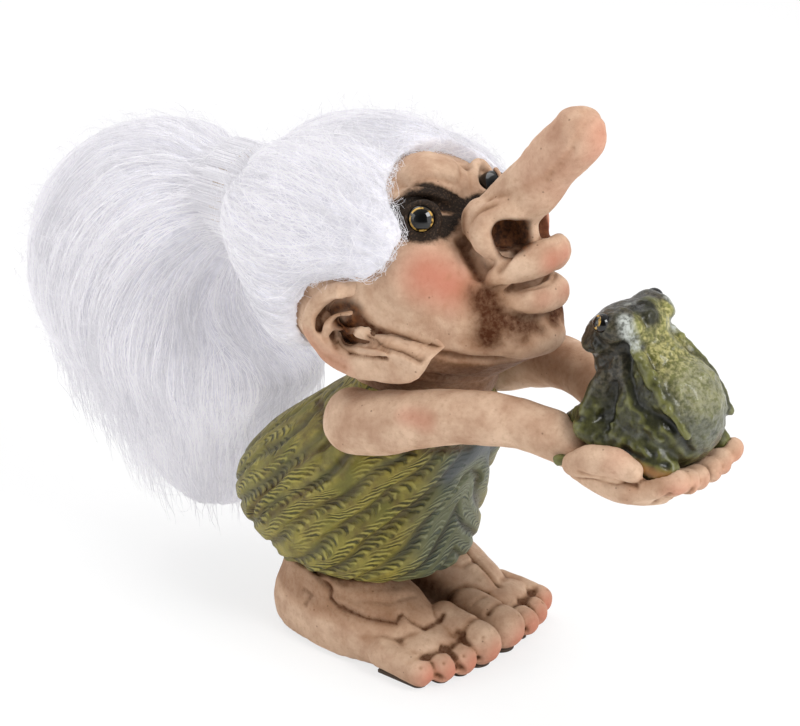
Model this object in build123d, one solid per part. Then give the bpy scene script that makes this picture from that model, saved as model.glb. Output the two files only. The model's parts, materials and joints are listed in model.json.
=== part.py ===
"""Troll figure of cast resin: it leans forward on two broad bare feet, looks up with puckered lips
and holds a frog out to them on its cupped hands. Long white hair is tied behind the head.
Millimetres. X runs from the troll's right (-) to its left (+), the face looks along -Y, +Z is up,
and the origin is on the underside of the felt sole pad, between the feet."""

from build123d import *

import os
from math import cos, radians, sin

# Fits. Castings are glued with this gap between their faces and round each locating peg.
glue_gap = 0.15
cut_overrun = 4.0

# Felt pad under both feet.
felt_thickness = 0.8
felt_inset = 1.5

# One foot and its short leg.
foot_length = 60.0
foot_width = 25.0
heel_back = 27.0
big_toe_radius = 4.9
small_toe_radius = 3.5
toe_length = 11.0
leg_peg_radius = 4.5
leg_peg_length = 9.0

# Tunic: a sack-shaped body on the hem plane.
hem_height = 18.5
tunic_height = 48.0
tunic_radius = 29.5
tunic_back = 12.5
rib_step = 7.4
rib_radius = 3.2
rib_height = 0.9
rib_slant = 48.0

# Arms and cupped hands.
upper_arm_radius = 7.4
forearm_radius = 5.6
wrist_radius = 5.2
shoulder_half_width = 22.5
shoulder_drop = 4.5
elbow_rise = 5.0
finger_radius = 3.1
finger_length = 10.0
thumb_radius = 3.2
thumb_length = 11.0
palm_half_width = 9.5
palm_length = 25.0
palm_thickness = 9.0
palm_height = 61.8
arm_peg_radius = 2.6
arm_peg_length = 7.0

# Head.
head_width = 53.0
head_length = 57.0
head_height = 53.0
head_rise = 27.5
neck_radius = 13.5
neck_peg_radius = 5.0
neck_peg_length = 9.0
nose_length = 39.0
nose_root_radius = 7.0
nose_tip_radius = 6.0
nose_lift_angle = 50.0
wing_radius = 2.5
nostril_radius = 4.6
lip_reach = 17.5
upper_lip_radius = 4.3
lower_lip_radius = 3.6
cheek_radius = 13.0
chin_radius = 4.0
muzzle_radius = 10.0

# Ears.
ear_length = 32.0
ear_height = 20.5
ear_thickness = 8.0
ear_rim = 3.4

# Glass eyes.
eye_radius = 4.0
frog_eye_radius = 2.1

# Frog.
kiss_gap = 2.6
frog_length = 40.0
frog_width = 29.0
frog_height = 36.5
frog_leg_radius = 3.4

# Hair and the thread that ties it.
tie_setback = 48.0
gather_radius = 8.5
tie_thread_radius = 1.4
tail_length = 66.0
tail_drop = 84.0
tail_half_width = 29.0


def at(centre, half_sizes, shares):
    """A point given as shares of a body's half sizes, counted from its centre."""
    return Vector(*(c + h * s for c, h, s in zip(centre, half_sizes, shares)))


def ball(centre, radius):
    return Pos(*centre) * Sphere(radius)


# Latitudes, in degrees, of the rings that a lump is drawn through.
lump_latitudes = (-86, -68, -45, -15, 15, 45, 68, 86)


def lump(centre, radii, tilt=(0, 0, 0), grow=0.0):
    """An egg-shaped lump of clay, drawn through rings of latitude about its longest axis."""
    wide, deep, high = (radius + grow for radius in radii)
    axis_turn, length, across, up = Rot(0, 0, 0), high, wide, deep
    if wide > max(deep, high):
        axis_turn, length, across, up = Rot(0, 90, 0), wide, high, deep
    elif deep > high:
        axis_turn, length, across, up = Rot(-90, 0, 0), deep, wide, high
    rings = []
    for latitude in lump_latitudes:
        turn = radians(latitude)
        rings.append(Pos(0, 0, length * sin(turn)) * Ellipse(across * cos(turn), up * cos(turn)))
    return Pos(*centre) * Rot(*tilt) * axis_turn * loft(rings)


def capsule(start, end, start_radius, end_radius, grow=0.0):
    """A tapered round finger with ball ends, as toes, fingers and the nose are modelled."""
    start, end = Vector(*start), Vector(*end)
    a, b = start_radius + grow, end_radius + grow
    length = (end - start).length
    root_bend = a * cos(radians(45))
    tip_bend = b * cos(radians(45))
    with BuildSketch(Plane.XZ) as profile:
        with BuildLine():
            ThreePointArc((0, -a), (root_bend, -root_bend), (a, 0))
            Line((a, 0), (b, length))
            ThreePointArc((b, length), (tip_bend, length + tip_bend), (0, length + b))
            Line((0, length + b), (0, -a))
        make_face()
    turned = revolve(profile.sketch, axis=Axis.Z)
    return Plane(origin=start, z_dir=end - start) * turned


def fused(pieces):
    """One solid out of overlapping lumps."""
    pieces = list(pieces)
    whole = pieces[0]
    for piece in pieces[1:]:
        whole = whole + piece
    return whole


# How a roll closes at its ends: places beyond the end and radii there, as shares of the end's radius.
roll_end_shares = ((0.60, 0.80), (0.95, 0.30))


def clay_roll(path, radii):
    """A string of clay: circles drawn along a path, rounded off at both ends."""
    stations = [(spot, radius) for spot, radius in zip(path, radii)]
    first, last = stations[0], stations[-1]
    out_first = (path[0] - path[1]).normalized()
    out_last = (path[-1] - path[-2]).normalized()
    for beyond, size in roll_end_shares:
        stations.insert(0, (first[0] + out_first * first[1] * beyond, first[1] * size))
        stations.append((last[0] + out_last * last[1] * beyond, last[1] * size))
    rings = []
    for index, (spot, radius) in enumerate(stations):
        before = stations[max(index - 1, 0)][0]
        after = stations[min(index + 1, len(stations) - 1)][0]
        rings.append(Plane(origin=spot, z_dir=after - before) * Circle(radius))
    return loft(rings)


def mirrored(shape):
    return mirror(shape, about=Plane.YZ)


def half_space(side):
    """Everything on one side of the figure's middle plane, less half the glue gap."""
    size = foot_length + tail_length + finger_length + head_length
    return Pos(side * (size / 2 + glue_gap / 2), 0, 0) * Box(size, 4 * size, 4 * size)


# Feet and sole pad.
foot_z = felt_thickness
leg_top = hem_height - glue_gap
# Height share of the leg, centre of the section along the foot, its half length, its half width,
# and how far its middle lies from the figure's middle, the last two as shares of the foot's width.
leg_section_shares = (
    (0.00, 0.00, 0.96, 0.47, 0.50),
    (0.24, 0.00, 1.00, 0.49, 0.50),
    (0.48, -0.02, 0.94, 0.485, 0.50),
    (0.70, -0.11, 0.79, 0.46, 0.49),
    (0.86, -0.19, 0.66, 0.44, 0.475),
    (1.00, -0.24, 0.58, 0.42, 0.46),
)
foot_half = (foot_length - toe_length) / 2
foot_middle = heel_back - foot_half


def leg_section(share_row):
    height, along, half_length, half_width, aside = share_row
    rise = foot_z + height * (leg_top - foot_z)
    spot = (-aside * foot_width, foot_middle - along * foot_half, rise)
    return Plane(origin=spot) * Ellipse(half_width * foot_width, half_length * foot_half)


# Toes from the big one outwards: place across the foot, and how far each tip is set back as a share
# of the toe.
toe_shares = ((0.19, 0.00), (0.465, 0.10), (0.685, 0.24), (0.89, 0.48))


def toe(index):
    across, set_back = toe_shares[index]
    radius = big_toe_radius if index == 0 else small_toe_radius
    tip_y = heel_back - foot_length + set_back * toe_length + radius
    tip = (-across * foot_width, tip_y, foot_z + radius * 0.92)
    root = (-across * foot_width * 0.97, tip_y + toe_length, foot_z + radius * 1.15)
    return capsule(root, tip, radius * 1.05, radius)


def leg_form():
    leg = loft([leg_section(row) for row in leg_section_shares])
    leg = fused([leg, *(toe(index) for index in range(len(toe_shares)))])
    below = Pos(0, 0, foot_z - cut_overrun) * Box(
        4 * foot_width, 4 * foot_length, 2 * cut_overrun
    )
    return (leg - below) & half_space(-1)


leg_peg_place = (
    -leg_section_shares[-1][4] * foot_width,
    foot_middle - leg_section_shares[-1][1] * foot_half,
)


def leg_peg(grow=0.0):
    height = leg_peg_length + grow
    base = Pos(*leg_peg_place, leg_top - glue_gap) * Cylinder(
        leg_peg_radius + grow, height + glue_gap, align=(Align.CENTER, Align.CENTER, Align.MIN)
    )
    return base


def sole_outline(grow):
    """Outline of one foot on the ground, with its toes."""
    row = leg_section_shares[1]
    half_length, half_width = row[2] * foot_half, row[3] * foot_width
    outline = Pos(-row[4] * foot_width, foot_middle) * Ellipse(half_width + grow, half_length + grow)
    for index, (across, set_back) in enumerate(toe_shares):
        radius = big_toe_radius if index == 0 else small_toe_radius
        tip_y = heel_back - foot_length + set_back * toe_length + radius
        outline += Pos(-across * foot_width, tip_y) * Circle(radius + grow)
        outline += Pos(-across * foot_width, tip_y + toe_length / 2) * Rectangle(
            2 * (radius + grow), toe_length
        )
    return outline


def sole_pad():
    foot = sole_outline(-felt_inset)
    bridge = Pos(0, foot_middle) * Rectangle(foot_width * 0.6, foot_half)
    return extrude(foot + bridge + mirror(foot, about=Plane.YZ), amount=felt_thickness)


# Tunic. Each row: height share, middle of the section behind the ankles, radius, as shares.
tunic_shares = (
    (0.00, 0.52, 0.70),
    (0.11, 0.80, 0.905),
    (0.29, 1.00, 1.00),
    (0.54, 0.56, 0.94),
    (0.75, -0.08, 0.79),
    (0.89, -0.36, 0.60),
    (1.00, -0.48, 0.42),
)
tunic_top = hem_height + tunic_height


# Ribs carved in the cloth run down and back from the chest. Each is drawn through these heights,
# between these turns (radians) round the trunk from its front.
rib_height_shares = (0.08, 0.20, 0.32, 0.44, 0.56, 0.66)
rib_turn_shares = (0.12, 1.95)
rib_first = hem_height + rib_step * 2.15
rib_count = 6


def tunic_at(height):
    """How far the trunk's section lies back, and its radius, at a height share."""
    rows = tunic_shares
    for low, high in zip(rows, rows[1:]):
        if low[0] <= height <= high[0]:
            part = (height - low[0]) / (high[0] - low[0])
            back, radius = (a + (b - a) * part for a, b in zip(low[1:], high[1:]))
    return back * tunic_back, radius * tunic_radius


def rib_path(index):
    slant = radians(rib_slant)
    level = rib_first + index * rib_step
    spots = []
    for height in rib_height_shares:
        rise = hem_height + height * tunic_height
        back, radius = tunic_at(height)
        turn = (level - rise * cos(slant)) / sin(slant) / radius
        reach = radius - rib_radius + rib_height
        if rib_turn_shares[0] < turn < rib_turn_shares[1]:
            spots.append(Vector(-reach * sin(turn), back - reach * cos(turn), rise))
    return spots


def ribs():
    paths = [rib_path(index) for index in range(rib_count)]
    return [clay_roll(path, [rib_radius] * len(path)) for path in paths if len(path) > 2]


def tunic_form(grow=0.0):
    rings = []
    for height, back, radius in tunic_shares:
        spot = (0, back * tunic_back, hem_height + height * tunic_height)
        if height == 0:
            spot = (spot[0], spot[1], spot[2] - grow)
        if height == 1:
            spot = (spot[0], spot[1], spot[2] + grow)
        rings.append(Plane(origin=spot) * Circle(radius * tunic_radius + grow))
    return loft(rings)


# Arms. The right arm is modelled and the left one mirrors it.
lip_line = -head_length / 2 - lip_reach
hand_middle = lip_line - kiss_gap - frog_length / 2
wrist_y = hand_middle + palm_length / 2
shoulder_z = tunic_top - shoulder_drop
wrist_x = palm_half_width * 1.05
wrist_z = palm_height + wrist_radius * 1.05
arm_reach = wrist_y + upper_arm_radius * 0.8
# Stations down the arm: reach, distance from the middle plane between shoulder (0) and wrist (1), rise.
arm_station_shares = (
    (0.00, 0.00, 0.00),
    (0.22, 0.00, 0.35),
    (0.55, 0.30, 1.00),
    (0.80, 0.70, 0.75),
    (1.00, 1.00, 0.00),
)
arm_radius_table = (
    upper_arm_radius,
    upper_arm_radius * 0.96,
    forearm_radius * 1.06,
    forearm_radius,
    wrist_radius,
)


def arm_stations():
    spots = []
    for reach, inward, rise in arm_station_shares:
        x = -shoulder_half_width + inward * (shoulder_half_width - wrist_x)
        y = -upper_arm_radius * 0.8 + reach * arm_reach
        z = shoulder_z + reach * (wrist_z - shoulder_z) + rise * elbow_rise
        spots.append(Vector(x, y, z))
    return spots


def arm_form(grow=0.0):
    spots = arm_stations()
    rings = []
    for index, spot in enumerate(spots):
        before, after = spots[max(index - 1, 0)], spots[min(index + 1, len(spots) - 1)]
        radius = arm_radius_table[index] + grow
        rings.append(Plane(origin=spot, z_dir=after - before) * Circle(radius))
    arm = loft(rings)
    shoulder = ball(spots[0], upper_arm_radius * 1.01 + grow)
    wrist = ball(spots[-1], wrist_radius * 1.04 + grow)
    return fused([arm, shoulder, wrist, hand_form(grow)])


# Fingers from the inner one outwards: place across the palm, rise of the tip.
finger_shares = ((0.30, 0.15), (0.85, 0.30), (1.38, 0.75))
palm_tilt = 16.0


def hand_form(grow=0.0):
    middle = (-palm_half_width * 0.82, hand_middle, palm_height)
    palm_radii = (palm_half_width, palm_length / 2, palm_thickness / 2)
    pieces = [lump(middle, palm_radii, (0, palm_tilt, 0), grow)]
    knuckle_y = hand_middle - palm_length * 0.22
    for across, rise in finger_shares:
        aside = across * palm_half_width
        root = (-aside, knuckle_y, palm_height + rise * finger_radius * 0.6)
        tip_rise = palm_height + finger_radius * (0.9 + rise)
        tip = (-aside * 0.78, knuckle_y - finger_length, tip_rise)
        pieces.append(capsule(root, tip, finger_radius * 1.08, finger_radius * 0.92, grow))
    thumb_root = (
        -palm_half_width * 1.35,
        hand_middle + palm_length * 0.28,
        palm_height + thumb_radius * 0.9,
    )
    thumb_tip = (
        -palm_half_width * 1.55,
        hand_middle + palm_length * 0.28 - thumb_length,
        palm_height + thumb_radius * 2.1,
    )
    pieces.append(capsule(thumb_root, thumb_tip, thumb_radius * 1.1, thumb_radius, grow))
    return fused(pieces)


def arm_peg(grow=0.0):
    spot = arm_stations()[0]
    reach = shoulder_half_width - upper_arm_radius * 0.5
    length = arm_peg_length + upper_arm_radius + grow
    peg = Cylinder(arm_peg_radius + grow, length, align=(Align.CENTER, Align.CENTER, Align.MIN))
    start = (-reach - upper_arm_radius * 0.5, spot.Y, spot.Z - upper_arm_radius * 0.3)
    return Pos(*start) * Rot(0, 90, 0) * peg


# Head.
head_middle = (0, 1.5, tunic_top + head_rise)
head_half = (head_width / 2, head_length / 2, head_height / 2)
# Slices of skull and jaw from the back of the head to the muzzle. Each row is given in shares of the
# head's half sizes: depth, top, underside, half width, and the height where the slice is widest.
skull_shares = (
    (1.00, 0.22, -0.30, 0.25, -0.02),
    (0.80, 0.60, -0.62, 0.62, -0.02),
    (0.42, 0.86, -0.94, 0.90, 0.00),
    (-0.05, 0.87, -1.10, 0.98, 0.00),
    (-0.44, 0.78, -1.10, 0.95, -0.04),
    (-0.75, 0.62, -1.00, 0.86, -0.10),
    (-1.04, 0.40, -0.82, 0.68, -0.14),
    (-1.29, 0.20, -0.64, 0.48, -0.18),
    (-1.50, -0.02, -0.50, 0.27, -0.24),
)
skull_fullness = 0.735
eye_place_shares = (0.47, -0.64, 0.60)
cheek_shares = (0.47, -0.58, 0.06)
forehead_shares = (0.0, -0.34, 0.69)
muzzle_shares = (0.0, -1.12, -0.08)
throat_shares = (0.0, -0.32, -0.90)
wing_shares = (0.22, -1.06, 0.60)
nostril_shares = (0.24, -1.34, 0.575)
columella_shares = (0.0, -1.27, 0.54)
nose_root_shares = (0.0, -1.035, 0.53)
# Rolls of clay on the right half of the face, from the side to the middle: places as shares of the
# head's half sizes, then the roll's radius as a share of its own named radius.
upper_lip_shares = (
    (0.450, -1.180, 0.130, 0.52),
    (0.264, -1.393, 0.294, 0.86),
    (0.000, -1.572, 0.385, 1.00),
)
lower_lip_shares = (
    (0.415, -1.210, 0.008, 0.44),
    (0.245, -1.407, 0.000, 0.80),
    (0.000, -1.580, 0.011, 1.00),
)
chin_roll_shares = (
    (0.491, -1.020, -0.426, 0.80),
    (0.270, -1.300, -0.375, 0.93),
    (0.000, -1.463, -0.366, 1.00),
)
wing_roll_shares = (
    (0.170, -1.344, 0.777, 0.96),
    (0.264, -1.232, 0.770, 0.96),
    (0.340, -1.161, 0.709, 1.00),
    (0.374, -1.137, 0.615, 1.00),
    (0.362, -1.168, 0.506, 0.96),
    (0.317, -1.232, 0.430, 0.80),
)


def on_head(shares, side=1):
    place = at(head_middle, head_half, shares)
    return Vector(side * place.X, place.Y, place.Z)


def head_slice(share_row, grow=0.0):
    """One upright slice: a smooth closed curve through its top, sides and underside."""
    depth, top, underside, half_width, widest = share_row
    spot = on_head((0, depth, widest))
    up = (top - widest) * head_half[2] + grow
    down = (widest - underside) * head_half[2] + grow
    wide = half_width * head_half[0] + grow
    full = skull_fullness
    right_side = [(wide * full, up * full), (wide, 0), (wide * full, -down * full)]
    left_side = [(-x, z) for x, z in reversed(right_side)]
    with BuildSketch(Plane(origin=spot, x_dir=(1, 0, 0), z_dir=(0, -1, 0))) as section:
        with BuildLine():
            Spline((0, up), *right_side, (0, -down), *left_side, periodic=True)
        make_face()
    return section.sketch


def skull_form(grow=0.0):
    return loft([head_slice(row, grow) for row in skull_shares])


def nose():
    """The long nose: a slightly waisted round bar with a blunt ball at its raised tip."""
    root = on_head(nose_root_shares)
    lift = radians(nose_lift_angle)
    along = Vector(0, -cos(lift), sin(lift))
    reach = nose_length - nose_tip_radius
    middle_radii = (nose_root_radius * 0.94, nose_tip_radius * 1.04, nose_tip_radius * 1.03)
    rings = []
    radii = (nose_root_radius, *middle_radii, nose_tip_radius)
    for index, radius in enumerate(radii):
        spot = root + along * reach * index / (len(radii) - 1)
        rings.append(Plane(origin=spot, z_dir=along) * Circle(radius))
    return loft(rings) + ball(root + along * reach, nose_tip_radius)


def upper_lumps(grow=0.0):
    """Soft forms that the hair meets: forehead, cheeks and throat."""
    half_w, half_l, half_h = head_half
    forehead = (half_w * 0.34, half_l * 0.33, half_h * 0.26)
    throat = (neck_radius * 1.08, neck_radius * 1.4, neck_radius)
    lumps = [
        lump(on_head(forehead_shares), forehead, grow=grow),
        lump(on_head(throat_shares), throat, (-12, 0, 0), grow),
    ]
    for side in (-1, 1):
        cheek = (cheek_radius * 0.95, cheek_radius * 1.08, cheek_radius)
        lumps.append(lump(on_head(cheek_shares, side), cheek, grow=grow))
    return lumps


def face_roll(table, radius, side=1):
    """A roll on one side of the face."""
    path = [on_head(row[:3], side) for row in table]
    return clay_roll(path, [row[3] * radius for row in table])


def face_bow(table, radius):
    """A roll that runs right across the face, its left half mirroring the right one."""
    path = [on_head(row[:3], -1) for row in table]
    path += [on_head(row[:3], 1) for row in reversed(table[:-1])]
    radii = [row[3] * radius for row in table]
    return clay_roll(path, radii + radii[-2::-1])


def face_lumps():
    """Soft forms in front of the skull: muzzle, columella and the bulk behind the nostril wings."""
    muzzle = (muzzle_radius * 1.15, muzzle_radius * 0.75, muzzle_radius * 1.2)
    columella = (nose_root_radius * 0.34, nose_root_radius * 0.62, nose_root_radius * 0.72)
    lumps = [lump(on_head(muzzle_shares), muzzle), lump(on_head(columella_shares), columella)]
    for side in (-1, 1):
        wing = (nose_root_radius * 0.62, nose_root_radius * 0.85, nose_root_radius * 0.80)
        lumps.append(lump(on_head(wing_shares, side), wing, (20, 0, 0)))
    return lumps


def face_rolls():
    """Rolled strings of clay on the face: lips, chin and nostril wings."""
    return [
        face_bow(upper_lip_shares, upper_lip_radius),
        face_bow(lower_lip_shares, lower_lip_radius),
        face_bow(chin_roll_shares, chin_radius),
        face_roll(wing_roll_shares, wing_radius, -1),
        face_roll(wing_roll_shares, wing_radius, 1),
    ]


def head_form():
    head = fused([skull_form(), *upper_lumps(), nose(), *face_lumps()])
    for side in (-1, 1):
        head -= lump(on_head(nostril_shares, side), (nostril_radius,) * 3)
    head = fused([head, *face_rolls()])
    for side in (-1, 1):
        head -= ball(on_head(eye_place_shares, side), eye_radius + glue_gap)
    return head


def neck_peg(grow=0.0):
    start = (0, tunic_shares[-1][1] * tunic_back, tunic_top - neck_peg_length - grow)
    length = neck_peg_length + grow + neck_radius / 2
    align = (Align.CENTER, Align.CENTER, Align.MIN)
    return Pos(*start) * Cylinder(neck_peg_radius + grow, length, align=align)


def eye(side):
    """Glass eye: a ball set two thirds deep in its socket."""
    return ball(on_head(eye_place_shares, side), eye_radius)


# Ears. Each is a thick-rimmed cup that flares backwards, drawn out into a heavy lobe in front.
ear_shares = (0.75, -0.42, -0.27)
ear_flare = 14.0
# Outline of the rim: forward and upward shares of the ear's half length and half height.
ear_outline_shares = (
    (-0.97, -0.15),
    (-0.84, 0.48),
    (-0.34, 1.00),
    (0.08, 0.80),
    (0.32, 0.36),
    (0.66, 0.14),
    (1.00, -0.18),
    (0.78, -0.74),
    (0.20, -0.96),
    (-0.46, -0.88),
)
# The cup's layers from the head outwards: share of its thickness and size of the outline there.
ear_layer_shares = ((0.00, 0.62), (0.45, 0.90), (0.80, 1.00), (1.00, 0.93))
bowl_middle_shares = (-0.24, 0.06)
bowl_size_shares = (0.50, 0.60)
bowl_layer_shares = ((0.30, 0.45), (0.60, 0.82), (1.05, 1.08))
# The fold that runs along the bowl: its depth, and its two ends as shares of the bowl.
ridge_depth_share = 0.62
ridge_end_shares = ((-0.50, -0.20), (0.90, -0.35))


def ear_plane(outward):
    turn = radians(ear_flare)
    normal = Vector(-cos(turn), -sin(turn), 0)
    forward = Vector(sin(turn), -cos(turn), 0)
    return Plane(origin=on_head(ear_shares, -1) + normal * outward, x_dir=forward, z_dir=normal)


def ear_form(grow=0.0):
    layers = []
    for outward, size in ear_layer_shares:
        half_length = size * ear_length / 2 + grow
        half_height = size * ear_height / 2 + grow
        spread = grow * (2 * outward - 1)
        with BuildSketch(ear_plane(outward * ear_thickness + spread)) as layer:
            with BuildLine():
                rim = [(x * half_length, y * half_height) for x, y in ear_outline_shares]
                Spline(*rim, periodic=True)
            make_face()
        layers.append(layer.sketch)
    return loft(layers)


def ear():
    middle = (bowl_middle_shares[0] * ear_length / 2, bowl_middle_shares[1] * ear_height / 2)
    half_length = bowl_size_shares[0] * ear_length / 2
    half_height = bowl_size_shares[1] * ear_height / 2
    layers = []
    for outward, size in bowl_layer_shares:
        outline = Ellipse(half_length * size, half_height * size)
        layers.append(ear_plane(outward * ear_thickness) * Pos(*middle) * outline)
    plane = ear_plane(ear_thickness * ridge_depth_share)
    ridge_ends = []
    for along, rise in ridge_end_shares:
        spot = (middle[0] + half_length * along, middle[1] + half_height * rise, 0)
        ridge_ends.append(plane.from_local_coords(spot))
    ridge = capsule(*ridge_ends, ear_rim * 0.42, ear_rim * 0.5)
    return (ear_form() - loft(layers)) + ridge


# Frog. It sits up on the palms and looks back at the troll, so its nose points along +Y.
frog_seat = palm_height + palm_thickness * 0.18
frog_half = (frog_width / 2, frog_length / 2, frog_height / 2)
frog_middle = (0, hand_middle, frog_seat + frog_height / 2)
frog_trunk_shares = (0.0, -0.22, -0.26)
frog_chest_shares = (0.0, 0.05, 0.10)
frog_head_shares = (0.0, 0.34, 0.58)
frog_brow_shares = (0.40, 0.20, 0.80)
frog_eye_shares = (0.64, 0.27, 0.84)
frog_thigh_shares = (0.66, -0.24, -0.62)
frog_knee_shares = (0.80, 0.36, -0.46)
frog_heel_shares = (0.72, -0.52, -0.84)
frog_toes_shares = (0.84, 0.28, -0.86)
frog_shoulder_shares = (0.46, 0.30, 0.10)
frog_elbow_shares = (0.70, 0.36, -0.30)
frog_hand_shares = (0.42, 0.74, -0.60)


def on_frog(shares, side=1):
    place = at(frog_middle, frog_half, shares)
    return Vector(side * place.X, place.Y, place.Z)


def frog_form(grow=0.0):
    half_w, half_l, half_h = frog_half
    trunk = (half_w * 0.80, half_l * 0.72, half_h * 0.72)
    chest = (half_w * 0.62, half_l * 0.56, half_h * 0.62)
    face = (half_w * 0.62, half_l * 0.54, half_h * 0.36)
    brow = (half_w * 0.28, half_l * 0.30, half_h * 0.20)
    thigh = (half_w * 0.30, half_l * 0.56, half_h * 0.30)
    pieces = [
        lump(on_frog(frog_trunk_shares), trunk, (-24, 0, 0), grow),
        lump(on_frog(frog_chest_shares), chest, (-30, 0, 0), grow),
        lump(on_frog(frog_head_shares), face, (-18, 0, 0), grow),
    ]
    for side in (-1, 1):
        pieces.append(lump(on_frog(frog_brow_shares, side), brow, grow=grow))
        pieces.append(lump(on_frog(frog_thigh_shares, side), thigh, (18, 0, 0), grow))
        knee, heel = on_frog(frog_knee_shares, side), on_frog(frog_heel_shares, side)
        pieces.append(capsule(heel, knee, frog_leg_radius * 0.7, frog_leg_radius * 0.85, grow))
        toes = on_frog(frog_toes_shares, side)
        pieces.append(capsule(heel, toes, frog_leg_radius * 0.62, frog_leg_radius * 0.5, grow))
        shoulder, elbow = on_frog(frog_shoulder_shares, side), on_frog(frog_elbow_shares, side)
        pieces.append(capsule(shoulder, elbow, frog_leg_radius, frog_leg_radius * 0.8, grow))
        hand = on_frog(frog_hand_shares, side)
        pieces.append(capsule(elbow, hand, frog_leg_radius * 0.8, frog_leg_radius * 0.6, grow))
    return fused(pieces)


def frog():
    body = frog_form()
    for side in (-1, 1):
        body -= ball(on_frog(frog_eye_shares, side), frog_eye_radius + glue_gap)
    return body


def frog_eye(side):
    return ball(on_frog(frog_eye_shares, side), frog_eye_radius)


# Hair: a cap glued over the skull and gathered behind it by a thread, and the loose tail below.
# Rows of the cap, as the skull's: depth, top, underside, half width, widest height.
hair_shares = (
    (-0.66, 0.70, 0.10, 0.86, 0.36),
    (-0.42, 0.90, -0.04, 1.05, 0.26),
    (-0.05, 1.00, -0.24, 1.12, 0.22),
    (0.40, 1.03, -0.92, 1.14, 0.15),
    (0.82, 0.94, -0.86, 1.00, 0.11),
    (1.24, 0.62, -0.50, 0.70, 0.10),
)
hairline_shares = (0.0, -0.84, 0.62)
tie_place = Vector(0, tie_setback, head_middle[2] + head_half[2] * 0.10)


def behind_tie(shift):
    return tie_place + Vector(0, shift, 0)


def hair_cap():
    rings = [head_slice(row) for row in hair_shares]
    for shift in (-tie_thread_radius * 2.5, tie_thread_radius * 1.5):
        rings.append(Plane(origin=behind_tie(shift), z_dir=(0, 1, 0)) * Circle(gather_radius))
    return loft(rings[:-2]) + loft([rings[-3], rings[-2]]) + loft(rings[-2:])


def hairline_cutter():
    """Clears the forehead, so the hair's edge runs back over its middle."""
    half_w, half_l, half_h = head_half
    return lump(on_head(hairline_shares), (half_w * 0.72, half_l * 0.72, half_h * 0.86))


def tie(grow=0.0):
    ring_radius = gather_radius + tie_thread_radius + glue_gap
    return Pos(*tie_place) * Rot(90, 0, 0) * Torus(ring_radius, tie_thread_radius + grow)


# Tail stations: shares of its length back from the thread and of its drop, slope of the cut
# (0 upright, 1 lying), half width share, and half depth as a share of its length.
tail_shares = (
    (0.00, 0.00, 0.00, 0.31, 0.14),
    (0.17, 0.06, 0.35, 0.72, 0.30),
    (0.33, 0.22, 0.66, 0.96, 0.52),
    (0.33, 0.42, 0.88, 1.00, 0.63),
    (0.26, 0.66, 1.00, 0.76, 0.40),
    (0.21, 0.87, 1.00, 0.42, 0.22),
    (0.19, 1.00, 1.00, 0.17, 0.10),
)


def tail():
    start = behind_tie(tie_thread_radius * 1.5 + glue_gap)
    rings = []
    for back, drop, slope, half_width, half_depth in tail_shares:
        turn = radians(90 * slope)
        spot = start + Vector(0, back * tail_length, -drop * tail_drop)
        plane = Plane(origin=spot, x_dir=(1, 0, 0), z_dir=(0, cos(turn), -sin(turn)))
        rings.append(plane * Ellipse(half_width * tail_half_width, half_depth * tail_length))
    return loft(rings)


def build():
    carved = ribs()
    tunic = fused([tunic_form(), *carved, *(mirrored(rib) for rib in carved)])
    tunic_cutter = tunic_form(glue_gap)
    arm_right = (arm_form() & half_space(-1)) - tunic_cutter
    arm_right = arm_right - frog_form(glue_gap)
    arm_right = arm_right + arm_peg()
    arms_cutter = arm_form(glue_gap)
    socket = arm_peg(glue_gap)
    tunic = tunic - socket - mirrored(socket) - neck_peg(glue_gap)
    leg_socket = leg_peg(glue_gap)
    tunic = tunic - leg_socket - mirrored(leg_socket)
    leg_right = leg_form() + leg_peg()
    head = head_form() - tunic_cutter - arms_cutter - mirrored(arms_cutter)
    head = head + neck_peg()
    ear_right = ear() - head
    hair = hair_cap() - hairline_cutter() - tunic_cutter
    ear_cutter = ear_form(glue_gap)
    blockers = [skull_form(glue_gap), *upper_lumps(glue_gap), ear_cutter, mirrored(ear_cutter)]
    for blocker in [*blockers, arms_cutter, mirrored(arms_cutter)]:
        hair = hair - blocker
    pieces = {
        "sole_pad": sole_pad(),
        "leg_right": leg_right,
        "leg_left": mirrored(leg_right),
        "tunic_body": tunic,
        "arm_right": arm_right,
        "arm_left": mirrored(arm_right),
        "head": head,
        "ear_right": ear_right,
        "ear_left": mirrored(ear_right),
        "eye_right": eye(-1),
        "eye_left": eye(1),
        "frog_body": frog(),
        "frog_eye_right": frog_eye(1),
        "frog_eye_left": frog_eye(-1),
        "hair_cap": hair,
        "hair_tie": tie(),
        "hair_tail": tail() - tunic_cutter - tie(glue_gap),
    }
    return pieces


os.makedirs("parts", exist_ok=True)
for name, shape in build().items():
    export_step(shape, f"parts/{name}.step")
    print(name, len(shape.solids()), round(shape.volume), shape.is_valid)
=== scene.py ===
"""The troll figure dressed for its picture: painted resin castings, glass eyes, wool hair, felt pad."""
import json
import math

import bpy
import numpy as np
from mathutils import Matrix, Vector, noise
from mathutils.bvhtree import BVHTree

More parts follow.
